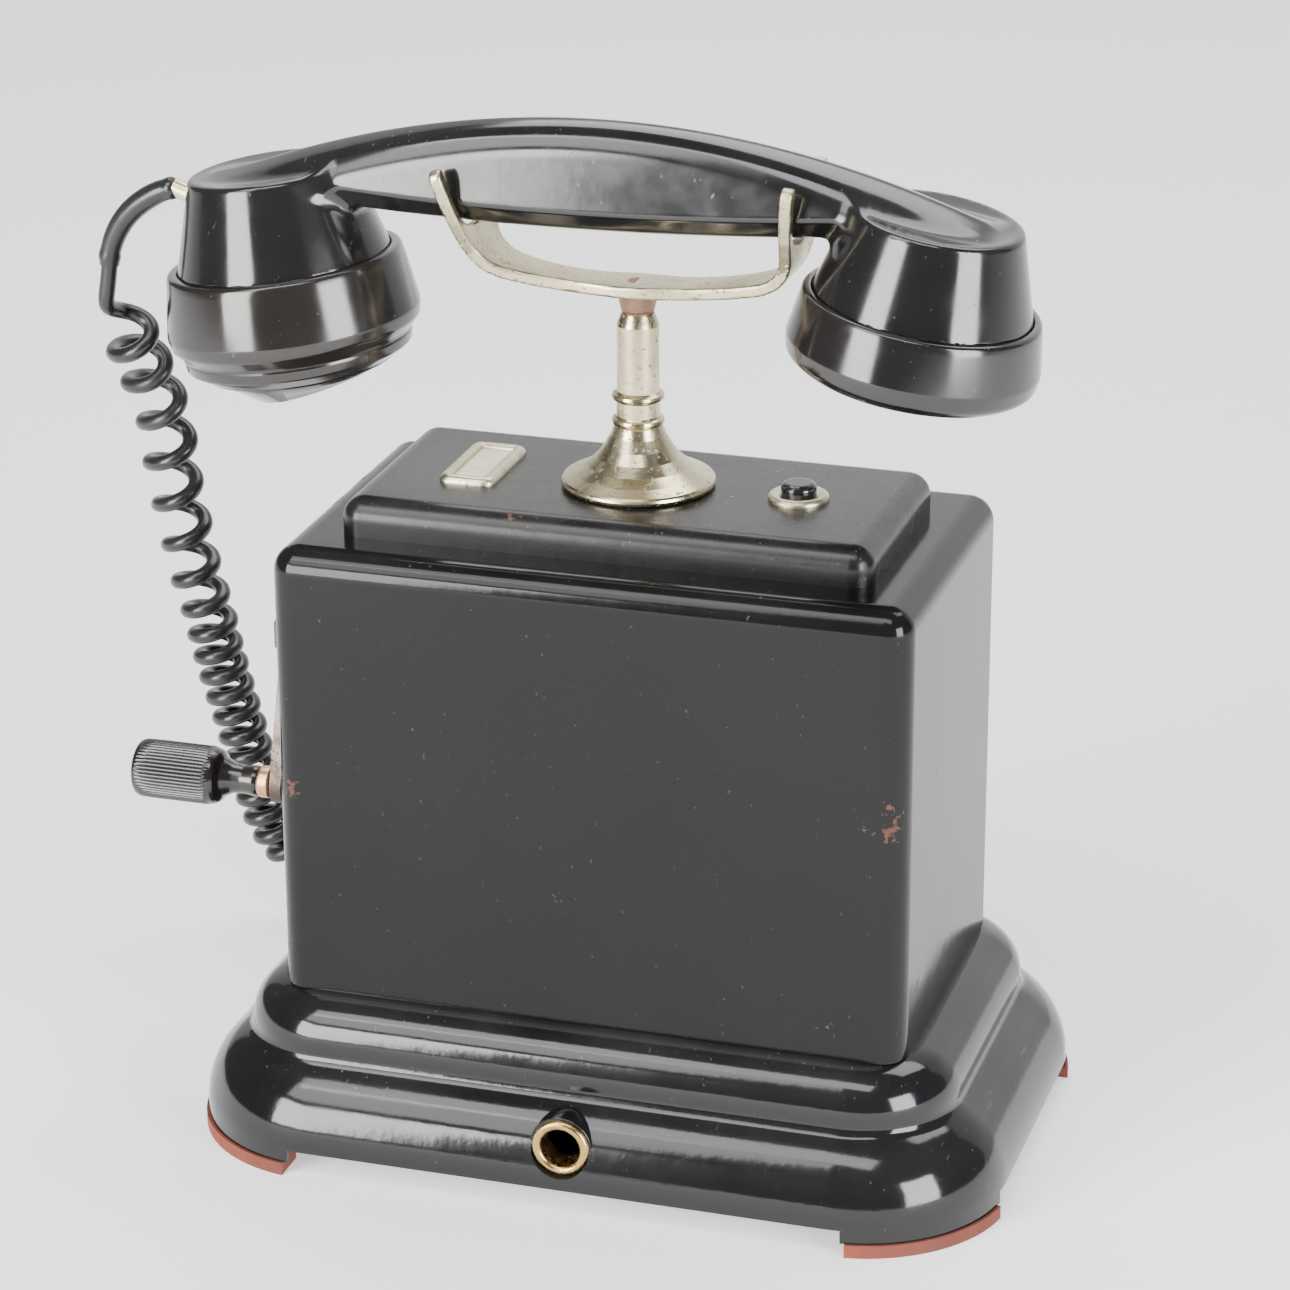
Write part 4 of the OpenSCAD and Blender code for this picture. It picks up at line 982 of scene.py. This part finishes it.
def cradle_line():
    """The strip's middle line in the XZ plane from the left tips to the right tips, in millimetres."""
    reach, bend = 38.75, 7.0
    rise = lambda x: STRIP_Z + STRIP_T / 2 + 5.4 * (abs(x) / 40) ** 2.6 + x * 0.014
    points = []
    tips = {}
    for side, lean in ((-1, 16.0), (1, 6.0)):
        a = math.radians(lean)
        foot = Vector((side * reach, rise(side * reach)))
        way = Vector((side * math.sin(a), math.cos(a)))
        x = side * (reach - bend)
        floor = Vector((x, rise(x)))
        arm = foot + way * bend
        curve = []
        for k in range(13):
            t = k / 12
            curve.append((1 - t) ** 2 * floor + 2 * t * (1 - t) * foot + t * t * arm)
        tips[side] = curve + [foot + way * s for s in np.linspace(bend, 34, 30)[1:]]
    level = [Vector((x, rise(x))) for x in np.linspace(-reach + bend, reach - bend, 60)[1:-1]]
    points = list(reversed(tips[-1])) + level + tips[1]
    return np.array([tuple(p) for p in points])


def blank_half_width(s, middle, foot):
    """Half width of the flat strip, by distance along it from its middle."""
    a = np.abs(s - middle)
    waist = 5.4 + 1.4 * np.exp(-(a / 9) ** 2) + 3.8 * np.clip(a / foot, 0, 1) ** 3
    up = np.clip(a - foot, 0, 40)
    fork = np.interp(up, [0, 4, 8.5, 13.5, 18.5, 23], [9.2, 11.2, 13.4, 15.4, 16.8, 17.6])
    return np.where(a < foot, waist, fork)


class PHONE_OT_cradle(bpy.types.Operator):
    """The nickelled strip with two forks, and the neck it stands on"""
    bl_idname = "phone.cradle"
    bl_label = "Cradle"

    def execute(self, context):
        line = cradle_line()
        run = np.concatenate([[0], np.cumsum(np.linalg.norm(np.diff(line, axis=0), axis=1))])
        middle = float(np.interp(0, line[:, 0], run))
        feet = {side: abs(float(run[np.abs(line[:, 0] - side * 38.75).argmin()]) - middle) for side in (-1, 1)}
        foot = (feet[-1] + feet[1]) / 2
        tops = 22.6
        span = np.array([middle - foot - tops, middle + foot + tops])

        def flat_value(s, y):
            a = np.abs(s - middle) - foot
            wide = blank_half_width(s, middle, foot)
            outline = soft_max(np.abs(y) - wide, a - tops, 3.0)
            notch_y = np.interp(a, [6.2, 7.4, 9.5, 14, 18.5, 30], [5.4, 8.6, 11.0, 12.7, 13.4, 14.0])
            notch = soft_max(np.abs(y) - notch_y, 6.0 - a, 2.5)
            return soft_max(outline, -notch, 1.0)

        def value(p_m):
            p = p_m / MM
            flat = p[:, [0, 2]]
            best = np.full(len(p), 1e9)
            s = np.zeros(len(p))
            side = np.zeros(len(p))
            for a, b, at in zip(line[:-1], line[1:], run[:-1]):
                d = b - a
                size = np.hypot(*d)
                t = np.clip(((flat - a) @ d) / size ** 2, 0, 1)
                gap = flat - a - t[:, None] * d
                dist = np.hypot(gap[:, 0], gap[:, 1])
                nearer = dist < best
                best = np.where(nearer, dist, best)
                s = np.where(nearer, at + t * size, s)
            return soft_max(flat_value(s, p[:, 1]), best - STRIP_T / 2, 0.7) * MM

        clear_selection()
        steps = int((span[1] - span[0]) / 1.0)
        bpy.ops.mesh.primitive_grid_add(x_subdivisions=steps, y_subdivisions=36, size=1)
        strip = take("cradle_strip")
        co = coordinates(strip)
        s = span[0] + (co[:, 0] + 0.5) * (span[1] - span[0])
        y = co[:, 1] * 36
        inside = flat_value(s, y) < 0.3
        x = np.interp(s, run, line[:, 0])
        z = np.interp(s, run, line[:, 1])
        place(strip, np.stack([x, y, z], 1) * MM)
        for v, keep in zip(strip.data.vertices, inside):
            v.select = not keep
        for face in strip.data.polygons:
            face.select = not all(inside[v] for v in face.vertices)
        pick(strip)
        bpy.ops.object.mode_set(mode="EDIT")
        bpy.ops.mesh.select_mode(type="FACE")
        bpy.ops.object.mode_set(mode="OBJECT")
        for face in strip.data.polygons:
            face.select = not all(inside[v] for v in face.vertices)
        bpy.ops.object.mode_set(mode="EDIT")
        bpy.ops.mesh.delete(type="FACE")
        bpy.ops.object.mode_set(mode="OBJECT")
        modifier(strip, "SOLIDIFY", thickness=STRIP_T * MM, offset=0)
        carve(strip, value, 0.00055, steps=5, most=0.0025)
        c = settings("colours")
        dress(strip, metal("cradle nickel", tuple(c.nickel), (0.43, 0.37, 0.24), 0.27, 85))
        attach(strip, "cradle_body")
        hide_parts("cradle")
        neck = metal("neck tarnish", (0.3, 0.19, 0.13), (0.2, 0.1, 0.07), 0.4, 120, 0.6)
        for node in ("plunger_rod", "cradle_cone"):
            dress(node, neck)
        return {"FINISHED"}


class PHONE_OT_crank(bpy.types.Operator):
    """Ribbed knob with its brass ferrule, arm and shaft"""
    bl_idname = "phone.crank"
    bl_label = "Crank"

    def execute(self, context):
        low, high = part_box("crank_knob")
        ferrule_low, ferrule_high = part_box("knob_ferrule")
        axis_y, axis_z = (low.y + high.y) / 2, (low.z + high.z) / 2
        size = high.x - low.x
        ribs, grip = 46, 21.0
        total = size / MM
        neck = total - grip
        profile = [
            (2.6, 0.6, 0), (2.6, 0, 0.2), (3.75, 0, 0.5), (4.0, 1.2, 0.8), (3.6, 4.4, 4), (3.9, neck - 5.2, 3),
            (5.2, neck - 2.6, 2), (6.6, neck - 1.6, 0.9), (7.1, neck - 0.7, 0.5), (7.35, neck + 0.3, 0.3)]
        profile += [(7.45, neck + 0.9, 0)] + [(7.45, z, 0) for z in np.linspace(neck + 1.3, total - 1.8, 8)]
        profile += [
            (7.35, total - 1.3, 0.3), (7.2, total - 0.7, 0.4), (6.4, total - 0.1, 0.8),
            (3.2, total - 0.15, 0.4), (2.9, total - 0.9, 0.3), (0, total - 1.0, 0)]
        knob = lathe("crank_knob_moulding", [(r * MM, z * MM, f * MM) for r, z, f in profile], ribs * 8, 4)
        co = coordinates(knob)
        r = np.hypot(co[:, 0], co[:, 1])
        angle = np.arctan2(co[:, 1], co[:, 0])
        z = co[:, 2] / MM
        part = np.clip((z - neck - 0.5) / 0.7, 0, 1) * np.clip((total - 1.5 - z) / 0.7, 0, 1) * (r > 6.9 * MM)
        wave = np.abs(np.sin(angle * ribs / 2)) ** 0.7
        grow = 1 + part * (wave - 0.72) * 0.42 * MM / np.maximum(r, 1e-6)
        co[:, :2] *= grow[:, None]
        place(knob, co)
        smooth(knob, 50)
        outwards = Matrix.Rotation(math.radians(-90), 4, "Y")
        knob.data.transform(Matrix.Translation((high.x, axis_y, axis_z)) @ outwards)
        dress(knob, moulding("knob phenolic", 0.16, 0.35, 0.004))
        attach(knob, "knob")
        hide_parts("crank_knob")

        depth = (ferrule_high.x - ferrule_low.x) / MM
        ring = lathe("knob_ferrule_ring", [(r * MM, z * MM, f * MM) for r, z, f in [
            (2.65, 0, 0), (3.7, 0, 0.3), (4.1, 0.5, 0.4), (4.1, depth - 0.6, 0.5), (3.8, depth, 0.3),
            (2.65, depth, 0), (2.65, 0, 0)]], 96)
        ring.data.transform(Matrix.Translation((ferrule_high.x, axis_y, axis_z)) @ outwards)
        dress(ring, metal("knob ferrule copper", (0.7, 0.42, 0.24), (0.4, 0.2, 0.1), 0.3, 150, 0.6))
        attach(ring, "knob")
        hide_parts("knob_ferrule")

        dark = metal("darkened steel", (0.12, 0.1, 0.09), (0.07, 0.05, 0.04), 0.35, 90)
        for node in ("crank_arm", "knob_spindle", "crank_nut"):
            dress(node, dark)
        return {"FINISHED"}


class PHONE_OT_top_fittings(bpy.types.Operator):
    """Name-card frame, button and its collar, and the column"""
    bl_idname = "phone.top_fittings"
    bl_label = "Top fittings"

    def execute(self, context):
        c = settings("colours")
        nickel = metal("column nickel", tuple(c.nickel), (0.42, 0.36, 0.23), 0.2, 60)
        for node in ("column", "column_nut"):
            dress(node, nickel)
        plate = metal("fitting nickel", (0.62, 0.57, 0.44), (0.45, 0.37, 0.2), 0.28, 130)

        low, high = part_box("label_frame")
        centre, half = (low + high) / 2, (high - low) / 2
        section = [(3.2, 0.45), (3.2, 1.1), (3.1, 1.4), (2.8, 1.65), (2.3, 1.82), (1.7, 1.9), (1.1, 1.82),
            (0.6, 1.5), (0.2, 1.0), (0, 0.5), (0, 0)]
        rim = swept("label_rim", half.x, half.y, 3.25 * MM, [(x * MM, low.z + z * MM) for x, z in section], 10)
        settle(rim, Matrix.Translation((centre.x, centre.y, 0)))
        dress(rim, plate)
        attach(rim, "phone")
        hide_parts("label_frame")
        dress("label_card", paper("name card", tuple(c.card)))
        dress("button_collar", plate)
        dress("button_cap", moulding("button phenolic", 0.08, 0.2))
        return {"FINISHED"}


class PHONE_OT_housing(bpy.types.Operator):
    """Enamelled base, case and raised panel, feet and eyelets"""
    bl_idname = "phone.housing"
    bl_label = "Base and case"

    def execute(self, context):
        c = settings("colours")
        looks = {
            "base_shell": (0.02, 0.08, 0.09, 0.4, 0.25, 1.5), "case_cover": (0.012, 0.115, 0.1, 0.25, 0.16, 1.33),
            "top_plinth": (0.009, 0.11, 0.25, 0.9, 0.28, 1.42)}
        for node, look in looks.items():
            low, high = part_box(node)
            half_x, half_y = (high.x - low.x) / 2, (high.y - low.y) / 2
            if node == "base_shell":
                shell = self.base(half_x, half_y, low.z, high.z)
            else:
                edge = (6.5 if node == "case_cover" else 5.6) * MM
                rows = bend_points(edge, high.z - edge, edge, 90, 0, 14) + [(0, low.z), (self.WALL, low.z)]
                rows += bend_points(edge, high.z - edge, edge - self.WALL, 0, 90, 8)
                shell = swept(node + "_sheet", half_x, half_y, edge, rows)
                self.drill(shell, 0, self.STEM_R, high.z)
                button_r = self.CONTACT_R if node == "case_cover" else self.SLEEVE_R
                self.drill(shell, self.BUTTON_X, button_r, high.z)
                if node == "case_cover":
                    bush = rod_cutter("bush_cutter", self.BUSH_R, 20)
                    across = Matrix.Rotation(math.radians(90), 4, "Y")
                    bush.data.transform(Matrix.Translation((-half_x, 0, self.CRANK_Z)) @ across)
                    cut(shell, bush)
            modifier(shell, "WEIGHTED_NORMAL", keep_sharp=True)
            dress(shell, enamel(node.replace("_", " ") + " enamel", half_x, half_y, high.z, *look))
            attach(shell, "phone")
            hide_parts(node)
        red = rubber("red foot rubber", c_tuple("foot"), 0.6, 0.3, 500.0)
        for node in ("foot_front_left", "foot_front_right", "foot_rear_left", "foot_rear_right"):
            dress(node, red)
        brass = metal("eyelet brass", tuple(c.brass), (0.32, 0.2, 0.07), 0.2, 120)
        for node, bore, tube_r, side in (("front_eyelet", 4.9, 5.6, -1), ("line_inlet", 4.3, 6.0, 1)):
            lip = (self.OUTER - bore) / 2
            rows = [(bore, -6, 0), (bore, 0, 0)]
            rows += [
                (self.OUTER - lip - lip * math.cos(a), lip * math.sin(a), 0) for a in np.linspace(0.1, 3.04, 14)]
            rows += [(self.OUTER, 0, 0), (tube_r, 0, 0), (tube_r, -6, 0), (bore, -6, 0)]
            ring = lathe(node + "_ring", [(r * MM, z * MM, f) for r, z, f in rows], 96)
            ring.data.transform(self.seat(0 if side < 0 else 45, side))
            dress(ring, brass)
            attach(ring, "phone")
            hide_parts(node)
        return {"FINISHED"}

    OUTER = 7.4
    SEAT_Y = 66.3
    WALL = 0.0015
    STEM_R, SLEEVE_R, CONTACT_R, BUSH_R = 6.1, 5.7, 2.2, 7
    BUTTON_X = 40.6
    CRANK_Z = 0.118

    def drill(self, sheet, x, radius, high):
        """A round hole straight down through the top of a sheet."""
        bit = rod_cutter("drill_bit", radius, 8)
        bit.data.transform(Matrix.Translation((x * MM, 0, high)))
        cut(sheet, bit)

    def seat(self, x, side):
        """Where a fitting sits in the skirt, its axis along +Z turned outwards."""
        return Matrix.Translation(Vector((x, side * self.SEAT_Y, 17.2)) * MM) @ Matrix.Rotation(
            math.radians(-90 * side), 4, "X")

    def base(self, half_x, half_y, low, high):
        """A rolled top edge, a cove and a wide swelling down to the skirt, cut away between the feet."""
        top = high / MM
        rows = bend_points(23.8, top - 11.5, 11.5, 90, 0, 18)
        rows += bend_points(8.8, top - 12.5, -3.5, 0, 60, 8)
        rows += bend_points(21.1, 7.2, 21.1, 59, 0, 26)
        rows += [
            (0, low / MM), (2, low / MM), (2, 8), (3.2, 14), (6.2, 20), (10.5, 24.4), (14.3, 27.2), (14.3, 29.5)]
        rows += bend_points(23.8, top - 11.5, 9.5, 12, 90, 6)
        shell = swept("base_moulding", half_x, half_y, 36.7 * MM, [(x * MM, z * MM) for x, z in rows], 22)
        cut(shell, box((-0.071, -0.2, -0.01), (0.071, 0.2, 0.0068)))
        cut(shell, box((-0.2, -0.038, -0.01), (0.2, 0.038, 0.0068)))
        bosses = []
        for x, side, bore in ((0, -1, 5.6), (-45, 1, 6.0), (45, 1, 6.0)):
            rows = [(0, -20, 0), (bore, -20, 0), (bore, 0, 0), (7.45, 0, 0), (7.45, 9, 0), (0, 9, 0)]
            drill = lathe("skirt_drill", [(r * MM, z * MM, 0) for r, z, _ in rows], 72)
            drill.data.transform(self.seat(x, side))
            cut(shell, drill)
            rows = [(bore, -9, 0), (bore, -0.05, 0), (7.85, -0.05, 0), (7.9, -0.1, 0), (7.9, -9, 0), (bore, -9, 0)]
            boss = lathe("skirt_boss", [(r * MM, z * MM, 0) for r, z, _ in rows], 72)
            boss.data.transform(self.seat(x, side))
            bosses.append(boss)
        clear_selection()
        for piece in (shell, *bosses):
            piece.select_set(True)
        bpy.context.view_layer.objects.active = shell
        bpy.ops.object.join()
        smooth(shell, 40)
        return shell


class PHONE_OT_works(bpy.types.Operator):
    """Finishes of the pieces inside: magneto, ringer, switches and fixings"""
    bl_idname = "phone.works"
    bl_label = "Works inside"

    def execute(self, context):
        finishes = {
            metal("plain steel", (0.5, 0.49, 0.48), (0.33, 0.3, 0.27), 0.34, 90): (
                "base_plate base_screws case_screws button_spring cradle_spring hook_bracket bush_nut crank_shaft "
                "pinion magneto_frame ringer_frame receiver_capsule capacitor transmitter_capsule"),
            metal("cut brass", (0.6, 0.43, 0.2), (0.36, 0.24, 0.1), 0.27, 110): "hook_lever drive_gear clapper crank_bush",
            metal("bell nickel", (0.62, 0.59, 0.5), (0.42, 0.36, 0.24), 0.16, 60): "gongs",
            metal("copper winding", (0.55, 0.25, 0.13), (0.3, 0.13, 0.07), 0.38, 300): "armature ringer_coils induction_coil",
            rubber("magnet paint", (0.2, 0.03, 0.022), 0.4, 0.3, 300.0): "magnets",
            rubber("brown phenolic board", (0.09, 0.045, 0.02), 0.35, 0.3, 260.0): "hook_contacts button_contacts terminal_block",
        }
        for finish, names in finishes.items():
            for node in names.split():
                dress(node, finish)
        return {"FINISHED"}


class PHONE_PT_pieces(bpy.types.Panel):
    """Makes the telephone piece by piece"""
    bl_idname = "PHONE_PT_pieces"
    bl_label = "Crank telephone"
    bl_space_type = "VIEW_3D"
    bl_region_type = "UI"
    bl_category = "Telephone"

    def draw(self, context):
        for kind, group_type in GROUPS.items():
            box = self.layout.box()
            box.label(text=kind.title())
            for key in group_type.__annotations__:
                box.prop(settings(kind), key)
        for operator in OPERATORS:
            self.layout.operator(operator.bl_idname)


GROUPS = {"handset": PhoneHandset, "cord": PhoneCord, "colours": PhoneColours}
OPERATORS = (
    PHONE_OT_stage, PHONE_OT_handset_cord, PHONE_OT_handset_body, PHONE_OT_caps, PHONE_OT_cradle,
    PHONE_OT_crank, PHONE_OT_top_fittings, PHONE_OT_housing, PHONE_OT_works)


def register():
    for kind, group_type in GROUPS.items():
        bpy.utils.register_class(group_type)
        setattr(bpy.types.Scene, "phone_" + kind, bpy.props.PointerProperty(type=group_type))
    for item in (*OPERATORS, PHONE_PT_pieces):
        bpy.utils.register_class(item)


def unregister():
    for item in (PHONE_PT_pieces, *reversed(OPERATORS)):
        bpy.utils.unregister_class(item)
    for kind, group_type in GROUPS.items():
        delattr(bpy.types.Scene, "phone_" + kind)
        bpy.utils.unregister_class(group_type)


def main():
    register()
    for operator in OPERATORS:
        family, name = operator.bl_idname.split(".")
        getattr(getattr(bpy.ops, family), name)()


if __name__ == "__main__":
    main()
